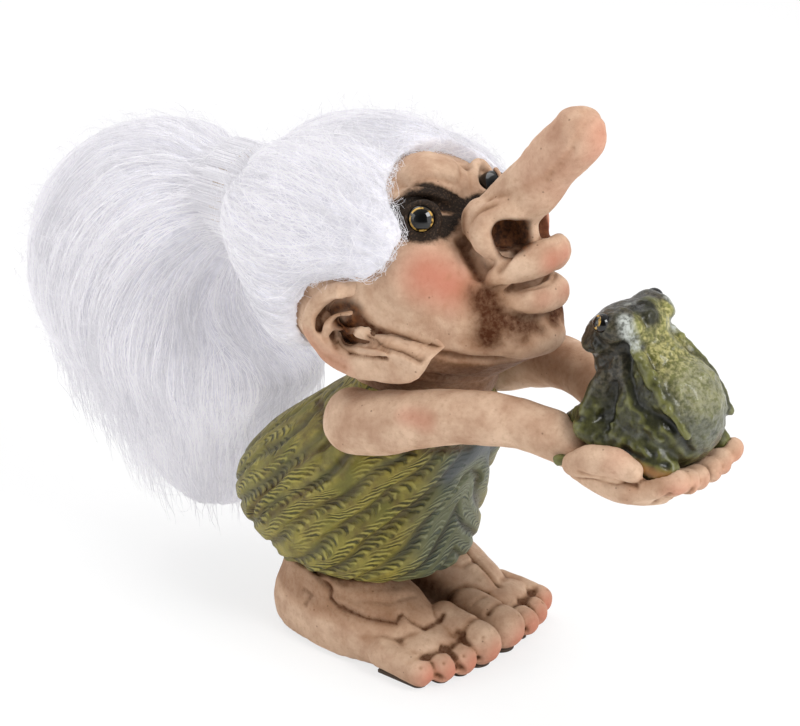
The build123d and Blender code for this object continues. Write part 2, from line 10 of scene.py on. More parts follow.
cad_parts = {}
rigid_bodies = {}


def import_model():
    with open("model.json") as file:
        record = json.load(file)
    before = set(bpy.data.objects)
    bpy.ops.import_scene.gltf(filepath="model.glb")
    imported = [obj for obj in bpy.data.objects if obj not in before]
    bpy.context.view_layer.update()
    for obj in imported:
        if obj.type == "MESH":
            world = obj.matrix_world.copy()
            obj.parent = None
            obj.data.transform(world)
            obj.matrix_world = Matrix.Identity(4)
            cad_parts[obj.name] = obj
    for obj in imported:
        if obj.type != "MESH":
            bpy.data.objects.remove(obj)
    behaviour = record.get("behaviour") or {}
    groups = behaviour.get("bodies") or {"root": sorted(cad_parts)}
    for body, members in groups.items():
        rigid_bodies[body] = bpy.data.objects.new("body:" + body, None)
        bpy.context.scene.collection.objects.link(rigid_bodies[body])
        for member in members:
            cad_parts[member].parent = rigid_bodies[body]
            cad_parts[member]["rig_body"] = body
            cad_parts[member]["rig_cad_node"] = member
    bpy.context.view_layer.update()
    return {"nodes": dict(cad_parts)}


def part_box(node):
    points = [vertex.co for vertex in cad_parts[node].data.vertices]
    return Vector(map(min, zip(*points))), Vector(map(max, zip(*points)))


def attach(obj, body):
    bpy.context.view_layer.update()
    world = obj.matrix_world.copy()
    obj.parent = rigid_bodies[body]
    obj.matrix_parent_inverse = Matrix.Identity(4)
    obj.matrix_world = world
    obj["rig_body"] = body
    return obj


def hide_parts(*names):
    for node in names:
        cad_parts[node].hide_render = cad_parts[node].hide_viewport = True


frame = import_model()
nodes = frame["nodes"]
mm = 0.001


# Felt pad. A thin self-adhesive felt is cut to the feet and stuck under both; it keeps the casting's
# rough underside from scratching a shelf. It is drawn in a little, so that only its edge shows.
def srgb(code):
    """Linear colour of an sRGB hex code."""
    shares = [int(code[i:i + 2], 16) / 255 for i in (1, 3, 5)]
    return [s / 12.92 if s < 0.04045 else ((s + 0.055) / 1.055) ** 2.4 for s in shares] + [1.0]


def add(tree, kind, links=(), **settings):
    """Adds a shader node; links pairs an input's name or number with a socket or a plain value."""
    made = tree.nodes.new(kind)
    for key, value in settings.items():
        setattr(made, key, value)
    for name, value in links:
        if isinstance(value, bpy.types.NodeSocket):
            tree.links.new(value, made.inputs[name])
        else:
            made.inputs[name].default_value = value
    return made


def finish_named(name):
    """A new material with its node tree emptied, output and all."""
    material = bpy.data.materials.new(name)
    material.use_nodes = True
    material.node_tree.nodes.clear()
    return material, material.node_tree


def close_shader(tree, shader):
    add(tree, "ShaderNodeOutputMaterial", [("Surface", shader.outputs[0])])


fibre_step = 0.35
pad_share = 0.955
# The felt's dark brown is its own colour and also painted shade: its edge stands for the shade under the
# feet.
felt, tree = finish_named("dark_brown_felt_and_shade")
place = add(tree, "ShaderNodeTexCoord")
fuzz = add(tree, "ShaderNodeTexNoise", [
    ("Vector", place.outputs["Object"]), ("Scale", 1 / (fibre_step * mm)), ("Detail", 3.0)])
nap = add(tree, "ShaderNodeBump", [
    ("Height", fuzz.outputs["Fac"]), ("Strength", 0.5), ("Distance", 0.0003)])
close_shader(tree, add(tree, "ShaderNodeBsdfPrincipled", [
    ("Base Color", srgb("#51443A")), ("Roughness", 0.95), ("Normal", nap.outputs[0])]))


def only(piece):
    """Leaves one piece selected and active."""
    bpy.ops.object.select_all(action="DESELECT")
    piece.select_set(True)
    bpy.context.view_layer.objects.active = piece


def clay_from(node, name):
    """A merged copy of a node's mesh, free to be reshaped."""
    piece = nodes[node].copy()
    piece.data = nodes[node].data.copy()
    piece.name = piece.data.name = name
    piece.parent = None
    piece.hide_render = piece.hide_viewport = False
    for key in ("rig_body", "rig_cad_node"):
        del piece[key]
    bpy.context.scene.collection.objects.link(piece)
    piece.data.materials.clear()
    only(piece)
    bpy.ops.object.mode_set(mode="EDIT")
    bpy.ops.mesh.select_all(action="SELECT")
    bpy.ops.mesh.remove_doubles(threshold=0.002 * mm)
    bpy.ops.object.mode_set(mode="OBJECT")
    return piece


def spots_of(piece):
    """Vertex places in mm."""
    flat = np.zeros(len(piece.data.vertices) * 3)
    piece.data.vertices.foreach_get("co", flat)
    return flat.reshape(-1, 3) / mm


def move_to(piece, spots):
    piece.data.vertices.foreach_set("co", (spots * mm).ravel())
    piece.data.update()


def coat(piece, material, slot, *stands_for):
    """Gives a finished piece its paint, its body and the nodes it stands for; its slot is not used."""
    piece.data.materials.clear()
    piece.data.materials.append(material)
    only(piece)
    bpy.ops.object.shade_smooth()
    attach(piece, "root")
    if stands_for:
        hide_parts(*stands_for)


pad = clay_from("sole_pad", "felt_pad")
spots = spots_of(pad)
middle = (spots.min(0) + spots.max(0)) / 2
spots[:, :2] = middle[:2] + (spots[:, :2] - middle[:2]) * pad_share
move_to(pad, spots)
coat(pad, felt, "felt", "sole_pad")


# Feet. Each foot and its short leg is one resin casting, made in a rubber mould of a clay model, then
# painted flesh, washed brown in the creases and rubbed pink on the toes.
def modify(piece, kind, **settings):
    """Adds a modifier with its settings and applies it."""
    only(piece)
    made = piece.modifiers.new(kind.lower(), kind)
    for key, value in settings.items():
        setattr(made, key, value)
    bpy.ops.object.modifier_apply(modifier=made.name)


def press_on(piece, *lumps):
    """Joins new lumps of clay into a piece."""
    bpy.ops.object.select_all(action="DESELECT")
    for lump in lumps:
        lump.select_set(True)
    piece.select_set(True)
    bpy.context.view_layer.objects.active = piece
    bpy.ops.object.join()


def egg(centre, radii, tilt=(0, 0, 0)):
    """A ball of clay stretched to three radii; sizes in mm, tilt in degrees."""
    bpy.ops.object.select_all(action="DESELECT")
    bpy.ops.mesh.primitive_uv_sphere_add(
        segments=32, ring_count=18, radius=1, location=Vector(centre) * mm,
        rotation=[math.radians(t) for t in tilt], scale=[r * mm for r in radii])
    made = bpy.context.object
    bpy.ops.object.transform_apply()
    return made


def ring(centre, axis, radius, thickness):
    """A round roll of clay about an axis; sizes in mm."""
    bpy.ops.object.select_all(action="DESELECT")
    turn = Vector(axis).to_track_quat("Z", "Y").to_euler()
    bpy.ops.mesh.primitive_torus_add(
        location=Vector(centre) * mm, rotation=turn, major_radius=radius * mm,
        minor_radius=thickness * mm, major_segments=40, minor_segments=14)
    made = bpy.context.object
    bpy.ops.object.transform_apply()
    return made


def roll(path, radii):
    """A string of clay rolled along a path, as thick at each point as its radius (mm)."""
    curve = bpy.data.curves.new("roll", "CURVE")
    curve.dimensions, curve.bevel_depth, curve.bevel_resolution, curve.use_fill_caps = "3D", mm, 5, True
    line = curve.splines.new("BEZIER")
    line.bezier_points.add(len(path) - 1)
    for point, spot, radius in zip(line.bezier_points, path, radii):
        point.co, point.radius = Vector(spot) * mm, radius
        point.handle_left_type = point.handle_right_type = "AUTO"
    made = bpy.data.objects.new("roll", curve)
    bpy.context.scene.collection.objects.link(made)
    only(made)
    bpy.ops.object.convert(target="MESH")
    for end, radius in ((path[0], radii[0]), (path[-1], radii[-1])):
        press_on(made, egg(end, (radius, radius, radius)))
    return made


def model_up(piece, grain, passes, factor=0.5):
    """Fuses all lumps into one skin of even grain (mm) and rubs it smooth."""
    modify(piece, "REMESH", mode="VOXEL", voxel_size=grain * mm)
    modify(piece, "SMOOTH", factor=factor, iterations=passes)


def outward(piece):
    flat = np.zeros(len(piece.data.vertices) * 3, np.float32)
    piece.data.vertex_normals.foreach_get("vector", flat)
    return flat.reshape(-1, 3).astype(float)


def both_sides(path):
    return [path, [(-x, y, z) for x, y, z in path]]


def distance_to(spots, path, step=0.5):
    """Distance of each vertex to a path of points (mm)."""
    path = np.array(path, float)
    dense = [path[0]]
    for a, b in zip(path[:-1], path[1:]):
        count = max(1, int(np.linalg.norm(b - a) / step))
        dense += [a + (b - a) * i / count for i in range(1, count + 1)]
    best = np.full(len(spots), 1e9)
    for point in dense:
        best = np.minimum(best, ((spots - point) ** 2).sum(1))
    return np.sqrt(best)


def layer(piece, name):
    """A float value for each vertex, which a paint reads by its name."""
    if name not in piece.data.attributes:
        piece.data.attributes.new(name, "FLOAT", "POINT")
    values = np.zeros(len(piece.data.vertices), np.float32)
    piece.data.attributes[name].data.foreach_get("value", values)
    return values


def keep_layer(piece, name, values):
    layer(piece, name)
    piece.data.attributes[name].data.foreach_set("value", np.clip(values, 0, 1).astype(np.float32))


def stroke(piece, path, width, depth, wash_and_shade=0.0, mirror=True, sharp=1.0):
    """Pushes a tool along a path: width and depth in mm, negative depth raises a ridge."""
    spots, normals, wash_and_shade_mark = spots_of(piece), outward(piece), layer(piece, "wash_and_shade")
    for side in both_sides(path) if mirror else [path]:
        reach = np.clip(1 - distance_to(spots, side) / width, 0, 1)
        fall = (reach * reach * (3 - 2 * reach)) ** sharp
        spots -= normals * (fall * depth)[:, None]
        wash_and_shade_mark = np.maximum(wash_and_shade_mark, fall * wash_and_shade)
    move_to(piece, spots)
    keep_layer(piece, "wash_and_shade", wash_and_shade_mark)


def tint(piece, name, path, width, strength, mirror=True):
    """Rubs a colour on round a path; it fades out over its width (mm)."""
    spots, values = spots_of(piece), layer(piece, name)
    for side in both_sides(path) if mirror else [path]:
        reach = np.clip(1 - distance_to(spots, side) / width, 0, 1)
        values = np.maximum(values, strength * reach * reach * (3 - 2 * reach))
    keep_layer(piece, name, values)


def relaxed(piece, spots, times):
    """The same skin rubbed smooth many times over, for finding hollows."""
    edges = np.zeros(len(piece.data.edges) * 2, int)
    piece.data.edges.foreach_get("vertices", edges)
    a, b = edges.reshape(-1, 2).T
    count = np.bincount(a, minlength=len(spots)) + np.bincount(b, minlength=len(spots))
    for _ in range(times):
        total = np.stack([
            np.bincount(a, spots[b, k], len(spots)) + np.bincount(b, spots[a, k], len(spots))
            for k in range(3)], 1)
        spots = spots * 0.4 + 0.6 * total / np.maximum(count, 1)[:, None]
    return spots


def settle_wash(piece, depth, strength, times=24):
    """Brown wash runs into hollows: its strength follows how deep (mm) each vertex lies."""
    spots = spots_of(piece)
    hollow = ((relaxed(piece, spots, times) - spots) * outward(piece)).sum(1)
    keep_layer(piece, "wash_and_shade", np.maximum(layer(piece, "wash_and_shade"), strength * np.clip(hollow / depth, 0, 1)))


def rough(piece, size, height, seed):
    """Uneven hand-modelled surface: lumps of a size and height in mm."""
    spots, normals = spots_of(piece), outward(piece)
    shift = Vector((seed * 7.3, seed * 3.1, seed * 5.7))
    push = [noise.noise(Vector(spot) / size + shift) for spot in spots]
    move_to(piece, spots + normals * (height * np.array(push))[:, None])


def mirrored(piece, name):
    """The same casting for the other side, with its own mesh and its faces outwards."""
    made = piece.copy()
    made.data = piece.data.copy()
    made.name = made.data.name = name
    bpy.context.scene.collection.objects.link(made)
    made.data.transform(Matrix.Diagonal((-1, 1, 1, 1)))
    made.data.flip_normals()
    return made


# Skin paint: flat acrylic over casting resin. Matt, slightly blotchy, with brown wash held in the
# creases and painted shade under the jaw, below the lips, under the arm and round the ears ("wash"),
# painted shade in the nostrils and the ear bowl ("hollow"), pink rubbed on high spots ("blush") and
# black round the eyes ("soot").
grain_size = 0.45
blotch_size = 7.0
patch_size = 1.1
skin, tree = finish_named("matt_acrylic_on_resin_skin")
place = add(tree, "ShaderNodeTexCoord").outputs["Object"]
blotch = add(tree, "ShaderNodeTexNoise", [
    ("Vector", place), ("Scale", 1 / (blotch_size * mm)), ("Detail", 5.0), ("Roughness", 0.6)])
grain = add(tree, "ShaderNodeTexNoise", [
    ("Vector", place), ("Scale", 1 / (grain_size * mm)), ("Detail", 4.0), ("Roughness", 0.65)])
patch = add(tree, "ShaderNodeTexNoise", [
    ("Vector", place), ("Scale", 1 / (patch_size * mm)), ("Detail", 3.0), ("Roughness", 0.6)])
base = add(tree, "ShaderNodeValToRGB", [("Fac", blotch.outputs["Fac"])])
base.color_ramp.elements[0].position, base.color_ramp.elements[1].position = 0.32, 0.68
base.color_ramp.elements[0].color, base.color_ramp.elements[1].color = srgb("#B08D74"), srgb("#D4B69C")
worn = add(tree, "ShaderNodeMapRange", [
    ("Value", patch.outputs["Fac"]), ("From Min", 0.25), ("From Max", 0.75), ("To Min", 0.84),
    ("To Max", 1.06)])
mottled = add(tree, "ShaderNodeMapRange", [
    ("Value", patch.outputs["Fac"]), ("From Min", 0.50), ("From Max", 0.78), ("To Max", 0.35)])
dappled = add(tree, "ShaderNodeMixRGB", [
    ("Fac", mottled.outputs[0]), ("Color1", base.outputs[0]), ("Color2", srgb("#9A7458"))])
wash_and_shade = add(tree, "ShaderNodeAttribute", attribute_name="wash_and_shade")
hollow = add(tree, "ShaderNodeAttribute", attribute_name="hollow")
blush = add(tree, "ShaderNodeAttribute", attribute_name="blush")
soot = add(tree, "ShaderNodeAttribute", attribute_name="soot")
# Brown wash in the creases, and painted shade where this layer is laid under the jaw, the lips and the
# arm.
wash_and_shade_amount = add(
    tree, "ShaderNodeMath", [(0, wash_and_shade.outputs["Fac"]), (1, worn.outputs[0])], operation="MULTIPLY",
    use_clamp=True)
pink = add(tree, "ShaderNodeMixRGB", [
    ("Fac", blush.outputs["Fac"]), ("Color1", dappled.outputs[0]), ("Color2", srgb("#BB705B"))])
wash_and_shade_colour = add(tree, "ShaderNodeValToRGB", [("Fac", wash_and_shade_amount.outputs[0])])
wash_and_shade_colour.color_ramp.elements[0].color = srgb("#9C6A3E")
wash_and_shade_colour.color_ramp.elements[1].color = srgb("#46220B")
brown = add(tree, "ShaderNodeMixRGB", [
    ("Fac", wash_and_shade_amount.outputs[0]), ("Color1", pink.outputs[0]), ("Color2", wash_and_shade_colour.outputs[0])])
speck = add(tree, "ShaderNodeTexVoronoi", [("Vector", place), ("Scale", 1 / (3.2 * mm))])
dot = add(tree, "ShaderNodeMapRange", [
    ("Value", speck.outputs["Distance"]), ("From Min", 0.05), ("From Max", 0.09), ("To Min", 0.55),
    ("To Max", 0.0)])
specked = add(tree, "ShaderNodeMixRGB", [
    ("Fac", dot.outputs[0]), ("Color1", brown.outputs[0]), ("Color2", srgb("#5B3F28"))])
# Painted shade: mottled dark brown in the nostrils and the ear bowl, where these recesses lie in shade.
hollow_shade_mottle = add(tree, "ShaderNodeMapRange", [
    ("Value", patch.outputs["Fac"]), ("From Min", 0.40), ("From Max", 0.75)])
hollow_shade_colour = add(tree, "ShaderNodeMixRGB", [
    ("Fac", hollow_shade_mottle.outputs[0]), ("Color1", srgb("#341706")), ("Color2", srgb("#7A4A28"))])
with_hollow_shade = add(tree, "ShaderNodeMixRGB", [
    ("Fac", hollow.outputs["Fac"]), ("Color1", specked.outputs[0]), ("Color2", hollow_shade_colour.outputs[0])])
uneven = add(
    tree, "ShaderNodeMath", [(0, patch.outputs["Fac"]), (1, 0.5), (2, soot.outputs["Fac"])],
    operation="MULTIPLY_ADD")
sooty = add(tree, "ShaderNodeMapRange", [
    ("Value", uneven.outputs[0]), ("From Min", 0.55), ("From Max", 0.85), ("To Max", 0.94)])
halo = add(tree, "ShaderNodeMapRange", [
    ("Value", uneven.outputs[0]), ("From Min", 0.34), ("From Max", 0.66), ("To Max", 0.62)])
smudge = add(tree, "ShaderNodeMixRGB", [
    ("Fac", halo.outputs[0]), ("Color1", with_hollow_shade.outputs[0]), ("Color2", srgb("#5A3E28"))])
scuffed = add(tree, "ShaderNodeMapRange", [
    ("Value", grain.outputs["Fac"]), ("From Min", 0.52), ("From Max", 0.68), ("To Max", 0.45)])
coal = add(tree, "ShaderNodeMixRGB", [
    ("Fac", scuffed.outputs[0]), ("Color1", srgb("#0E0B0A")), ("Color2", srgb("#6A5442"))])
black = add(tree, "ShaderNodeMixRGB", [
    ("Fac", sooty.outputs[0]), ("Color1", smudge.outputs[0]), ("Color2", coal.outputs[0])])
tooth = add(tree, "ShaderNodeBump", [
    ("Height", grain.outputs["Fac"]), ("Strength", 0.6), ("Distance", 0.0003)])
close_shader(tree, add(tree, "ShaderNodeBsdfPrincipled", [
    ("Base Color", black.outputs[0]), ("Specular IOR Level", 0.12), ("Roughness", 0.62),
    ("Normal", tooth.outputs[0])]))

toe_places = ((-4.75, -28.1, 4.9), (-11.6, -28.4, 3.5), (-17.1, -26.9, 3.5), (-22.2, -24.2, 3.5))


def nail_round(x, y, radius):
    """A closed path round a toenail, on the upper front of a toe."""
    middle = Vector((x, y - 0.62 * radius, 0.8 + 0.92 * radius + 0.80 * radius))
    path = []
    for step in range(9):
        turn = math.radians(40 * step)
        path.append(tuple(middle + Vector(
            (0.46 * radius * math.cos(turn), -0.34 * radius * math.sin(turn),
                0.42 * radius * math.sin(turn)))))
    return path


foot = clay_from("leg_right", "foot_right")
press_on(foot, roll(
    [(-20.0, -5.0, 5.2), (-20.4, -12.0, 4.6), (-20.3, -18.0, 4.3), (-20.8, -22.5, 3.9)],
    [4.6, 4.1, 3.8, 3.5]))
press_on(foot, egg((-14.0, -19.6, 5.0), (9.4, 6.2, 4.8)), egg((-6.0, -20.5, 5.2), (5.2, 6.0, 5.0)))
model_up(foot, 0.42, 7)
for x, y, radius in toe_places:
    stroke(foot, nail_round(x, y, radius), 0.7, 0.32, 0.85, False)
    tint(foot, "blush", [(x, y - radius, 3.5)], 6.5, 0.75, False)
for path in (
        [(-8.6, -24.6, 8.6), (-8.8, -28.3, 6.6), (-8.9, -31.5, 3.0)],
        [(-14.4, -24.6, 7.2), (-14.5, -28.3, 5.6), (-14.5, -30.8, 3.0)],
        [(-19.8, -23.0, 6.6), (-19.9, -26.0, 5.4), (-19.9, -28.5, 3.0)],
        [(-23.6, -23.0, 6.0), (-20.6, -24.4, 7.2), (-17.0, -25.4, 7.4), (-13.0, -26.0, 7.6),
            (-9.0, -26.0, 8.4), (-5.0, -25.6, 10.0), (-1.5, -25.4, 9.4)]):
    stroke(foot, path, 1.5, 0.75, 1.0, False)
tint(foot, "wash_and_shade", [
    (-1.5, 8.0, 12.0), (-1.5, -4.0, 11.0), (-1.5, -14.0, 9.0), (-1.5, -24.0, 6.0)], 6.0, 0.95, False)
tint(
    foot, "wash_and_shade", [(-4.0, 0.0, 18.0), (-12.0, -8.0, 18.0), (-20.0, 0.0, 18.4), (-21.0, 8.0, 18.4),
        (-12.0, 17.0, 18.4)], 5.0, 0.85, False)
far_foot = mirrored(foot, "foot_left")
spots = spots_of(foot)
keep_layer(foot, "wash_and_shade", np.maximum(
    layer(foot, "wash_and_shade"), 0.55 * np.clip((spots[:, 2] - 8.0) / 3.5, 0, 1) * np.clip(
        (spots[:, 1] + 20.0) / 5.0, 0, 1)))
for path, width, depth, wash_and_shade in (
        ([(-18.8, 12.4, 18.3), (-21.0, 7.4, 18.0), (-22.4, 2.7, 16.7), (-23.1, 2.1, 14.2),
            (-23.3, -0.2, 13.0), (-22.7, -4.0, 12.5), (-21.7, -8.0, 11.9), (-20.3, -11.0, 11.9),
            (-18.2, -14.1, 11.6), (-16.5, -13.8, 12.6)], 1.5, 1.1, 1.0),
        ([(-15.9, -14.0, 12.7), (-15.5, -16.6, 11.3), (-13.8, -19.1, 9.9), (-8.6, -19.4, 9.9),
            (-7.1, -19.0, 10.7)], 1.2, 0.55, 0.85),
        ([(-22.4, 2.5, 15.9), (-21.5, -2.9, 14.8), (-15.9, -10.3, 14.5), (-9.3, -12.0, 14.0)], 1.4, 0.4,
            0.5),
        ([(-23.2, 10.1, 13.5), (-23.6, 7.6, 13.2), (-24.0, 8.9, 10.6)], 2.2, 0.5, 0.8),
        ([(-20.5, 0.0, 18.0), (-18.0, -5.0, 17.0), (-12.0, -8.5, 16.5)], 1.6, 0.4, 0.5)):
    stroke(foot, path, width, depth, wash_and_shade, False)
tint(
    foot, "wash_and_shade", [(-20.5, 6.0, 17.5), (-21.5, 1.0, 15.6), (-20.5, -4.0, 14.4), (-17.0, -9.0, 14.0),
        (-11.0, -12.0, 14.0)], 4.0, 0.42, False)
for path, width, depth, wash_and_shade in (
        ([(13.8, -5.0, 18.0), (13.8, -7.8, 16.5), (13.7, -12.2, 14.0), (13.4, -16.3, 11.9),
            (12.9, -20.2, 9.0)], 1.3, 0.6, 0.7),
        ([(5.0, -21.4, 10.8), (2.1, -20.7, 10.2)], 1.2, 0.4, 0.6),
        ([(4.0, -6.0, 16.0), (9.0, -12.0, 14.5), (12.9, -12.0, 14.0)], 1.3, 0.4, 0.5)):
    stroke(far_foot, path, width, depth, wash_and_shade, False)
for piece, name, node, seed in (
        (foot, "foot_right", "leg_right", 1), (far_foot, "foot_left", "leg_left", 2)):
    rough(piece, 7.0, 0.45, seed)
    rough(piece, 2.2, 0.12, seed + 4)
    settle_wash(piece, 0.30, 0.95)
    coat(piece, skin, "skin", node)


# Tunic. The trunk is one casting, carved all over with short tool strokes like shaggy cloth; the
# folds run down from the chest to the back. Legs, arms and head are glued into its sockets.
band_width = 7.4
row_width = 3.7
stroke_step = 1.15
band_turn = math.radians(48)
section_rises = (18.5, 23.8, 32.4, 44.4, 54.5, 61.2, 66.5)
section_backs = (6.5, 10.0, 12.5, 7.0, -1.0, -4.5, -6.0)
section_radii = (20.6, 26.7, 29.5, 27.7, 23.3, 17.7, 12.4)


def free_layer(piece, name, values):
    """A float value for each vertex that isn't held between 0 and 1."""
    layer(piece, name)
    piece.data.attributes[name].data.foreach_set("value", values.astype(np.float32))


tunic = clay_from("tunic_body", "tunic")
model_up(tunic, 0.45, 6)
spots = spots_of(tunic)
centre_y = np.interp(spots[:, 2], section_rises, section_backs)
radius = np.interp(spots[:, 2], section_rises, section_radii)
around = np.arctan2(np.abs(spots[:, 0]), -(spots[:, 1] - centre_y)) * radius
sway = np.array([noise.noise(Vector(p) / 11.0) for p in spots])
across = around * math.sin(band_turn) + spots[:, 2] * math.cos(band_turn) + sway * 2.2
wave = np.cos((across - 45.5) / band_width * 2 * np.pi)
outer = (np.hypot(spots[:, 0], spots[:, 1] - centre_y) > radius * 0.80) & (spots[:, 2] < 62)
# The valleys between the folds are pressed in a little and marked for painted shade.
shaded_valley = np.clip(wave, 0, 1) ** 2.0 * outer
move_to(tunic, spots - outward(tunic) * (shaded_valley * 0.7 * np.clip((62 - spots[:, 2]) / 6, 0, 1))[:, None])
free_layer(tunic, "across", across)
free_layer(tunic, "rise", spots[:, 2] + 0.22 * around + sway * 1.6)
keep_layer(tunic, "shaded_valley", shaded_valley * (0.65 + 0.6 * sway))
keep_layer(tunic, "front", np.clip((17.0 - around) / 9.0, 0, 1))
keep_layer(tunic, "rear", np.clip((around - 66.0) / 14.0, 0, 1))
stroke(
    tunic, [(-22.8, 1.5, 55.0), (-26.2, 7.7, 48.0), (-27.9, 15.6, 41.0), (-28.1, 21.3, 34.1),
        (-27.5, 23.6, 28.8)], 2.0, 1.6, 0.9)
stroke(tunic, [
    (-25.0, -2.0, 50.5), (-27.6, 6.0, 43.4), (-29.2, 13.0, 36.4), (-29.0, 17.5, 32.0)], 1.8, -0.7, 0.0)
stroke(tunic, [(-26.7, -1.2, 48.0), (-28.6, 6.6, 41.4), (-29.6, 14.0, 34.6)], 1.1, 0.5, 0.9)
# A groove under the arm, washed brown and darkened further as painted shade where the arm shades the
# tunic.
stroke(
    tunic, [(-12.4, 14.4, 57.5), (-18.9, 6.5, 57.6), (-21.8, 1.4, 56.2), (-22.4, -3.8, 55.4),
        (-21.8, -7.6, 55.2), (-19.5, -11.5, 55.6), (-16.0, -16.0, 56.0), (-11.4, -21.2, 55.3),
        (-4.0, -24.0, 54.0)], 2.2, 0.5, 1.0)
tint(
    tunic, "plain", [(-13.0, 17.0, 53.0), (-20.0, 10.0, 53.5), (-24.0, 3.0, 52.5), (-25.0, -3.5, 51.0),
        (-25.5, -5.0, 47.0)], 6.5, 1.3)
tint(tunic, "plain", [(-27.5, 22.0, 24.0), (-28.5, 15.0, 25.0), (-28.0, 8.0, 26.0)], 6.0, 1.0)
tint(tunic, "slate", [(-8.0, -21.9, 47.4), (-5.4, -23.8, 50.6), (0.0, -24.5, 52.0)], 5.5, 1.2)
rough(tunic, 5.0, 0.35, 5)
settle_wash(tunic, 0.7, 0.6, 30)


# Tunic paint: olive over dark green, dry-brushed yellow-green on the ridges, with brown wash and with
# painted shade in the fold valleys and under the arm; the tool strokes are a pattern of their own step,
# laid in rows along each fold of the cloth.
tunic_paint, tree = finish_named("dry_brushed_olive_on_resin")
place = add(tree, "ShaderNodeTexCoord").outputs["Object"]


def value_of(tree, name):
    return add(tree, "ShaderNodeAttribute", attribute_name=name).outputs["Fac"]


def math_of(tree, operation, a, b=0.0, c=0.0, clamp=False):
    return add(
        tree, "ShaderNodeMath", [(0, a), (1, b), (2, c)], operation=operation, use_clamp=clamp).outputs[0]


def blend_of(tree, share, first, second):
    return add(tree, "ShaderNodeMixRGB", [
        ("Fac", share), ("Color1", first), ("Color2", second)]).outputs[0]


def remap(tree, value, low, high, to_low=0.0, to_high=1.0):
    return add(tree, "ShaderNodeMapRange",
        [("Value", value), ("From Min", low), ("From Max", high), ("To Min", to_low),
            ("To Max", to_high)]).outputs[0]


def cloud(tree, place, size, detail=4.0, roughness=0.6):
    return add(tree, "ShaderNodeTexNoise",
        [("Vector", place), ("Scale", 1 / (size * mm)), ("Detail", detail),
            ("Roughness", roughness)]).outputs["Fac"]


wander = cloud(tree, place, 6.0, 3.0)
row = math_of(tree, "DIVIDE", value_of(tree, "across"), row_width)
row = math_of(tree, "ADD", row, math_of(tree, "MULTIPLY", wander, 0.8))
row_share = math_of(tree, "FRACT", row)
row_number = math_of(tree, "FLOOR", row)
chance = add(tree, "ShaderNodeTexWhiteNoise", [("W", row_number)], noise_dimensions="1D").outputs["Value"]
middle = math_of(tree, "SUBTRACT", row_share, 0.5)
lean = math_of(tree, "MULTIPLY", middle, remap(tree, chance, 0.0, 1.0, -1.6, 1.0))
bow = math_of(tree, "MULTIPLY", math_of(tree, "MULTIPLY", middle, middle), 3.4)
turns = math_of(tree, "DIVIDE", value_of(tree, "rise"), stroke_step)
turns = math_of(tree, "ADD", math_of(tree, "ADD", turns, lean), math_of(
    tree, "ADD", bow, math_of(tree, "MULTIPLY", chance, 7.0)))
turns = math_of(tree, "ADD", turns, math_of(tree, "MULTIPLY", cloud(tree, place, 3.2, 2.0), 1.3))
swing = math_of(tree, "SINE", math_of(tree, "MULTIPLY", turns, 2 * math.pi))
cell = add(tree, "ShaderNodeCombineXYZ", [
    (0, row_number), (1, math_of(tree, "FLOOR", turns)), (2, 0.5)]).outputs[0]
luck = add(tree, "ShaderNodeTexWhiteNoise", [("Vector", cell)], noise_dimensions="3D").outputs["Value"]
strayed = math_of(tree, "ADD", middle, math_of(
    tree, "MULTIPLY", math_of(tree, "SUBTRACT", luck, 0.5), 0.34))
edge = remap(tree, math_of(tree, "ABSOLUTE", strayed), 0.24, 0.40, 1.0, 0.0)
edge = math_of(tree, "MULTIPLY", edge, remap(tree, luck, 0.0, 0.45, 0.30, 1.0), clamp=True)
patchy = remap(tree, cloud(tree, place, 4.5, 3.0), 0.36, 0.54, 0.10, 1.0)
not_plain = math_of(tree, "SUBTRACT", 1.0, value_of(tree, "plain"), clamp=True)
cut = math_of(tree, "MULTIPLY", remap(tree, swing, 0.05, 0.75), math_of(tree, "MULTIPLY", edge, math_of(
    tree, "MULTIPLY", patchy, not_plain)), clamp=True)
crest = math_of(tree, "MULTIPLY", remap(tree, swing, -0.2, -0.9), math_of(
    tree, "MULTIPLY", edge, not_plain), clamp=True)
olive = add(tree, "ShaderNodeValToRGB", [("Fac", cloud(tree, place, 9.0, 5.0, 0.65))])
olive.color_ramp.elements[0].position, olive.color_ramp.elements[1].position = 0.35, 0.65
olive.color_ramp.elements[0].color, olive.color_ramp.elements[1].color = srgb("#666228"), srgb("#94873C")
front = value_of(tree, "front")
earthy = remap(tree, cloud(tree, place, 5.5, 4.0, 0.7), 0.45, 0.66, 0.0, 0.75)
olive = blend_of(tree, earthy, olive.outputs[0], srgb("#5A4A26"))
paint = blend_of(tree, front, olive, srgb("#5F6347"))
paint = blend_of(tree, math_of(tree, "MULTIPLY", value_of(tree, "rear"), 0.6), paint, srgb("#6E6C4E"))
paint = blend_of(tree, math_of(tree, "MULTIPLY", crest, 0.44), paint, blend_of(
    tree, front, srgb("#B4AC5C"), srgb("#959980")))
# Painted shade: dark grey-green in the valleys between the folds.
paint = blend_of(tree, math_of(tree, "MULTIPLY", value_of(tree, "shaded_valley"), 0.78), paint, srgb("#30362F"))
paint = blend_of(tree, math_of(tree, "MULTIPLY", value_of(tree, "slate"), 0.8), paint, srgb("#4B5058"))
paint = blend_of(tree, math_of(tree, "MULTIPLY", cut, 0.80), paint, blend_of(
    tree, front, srgb("#262A12"), srgb("#4A524A")))
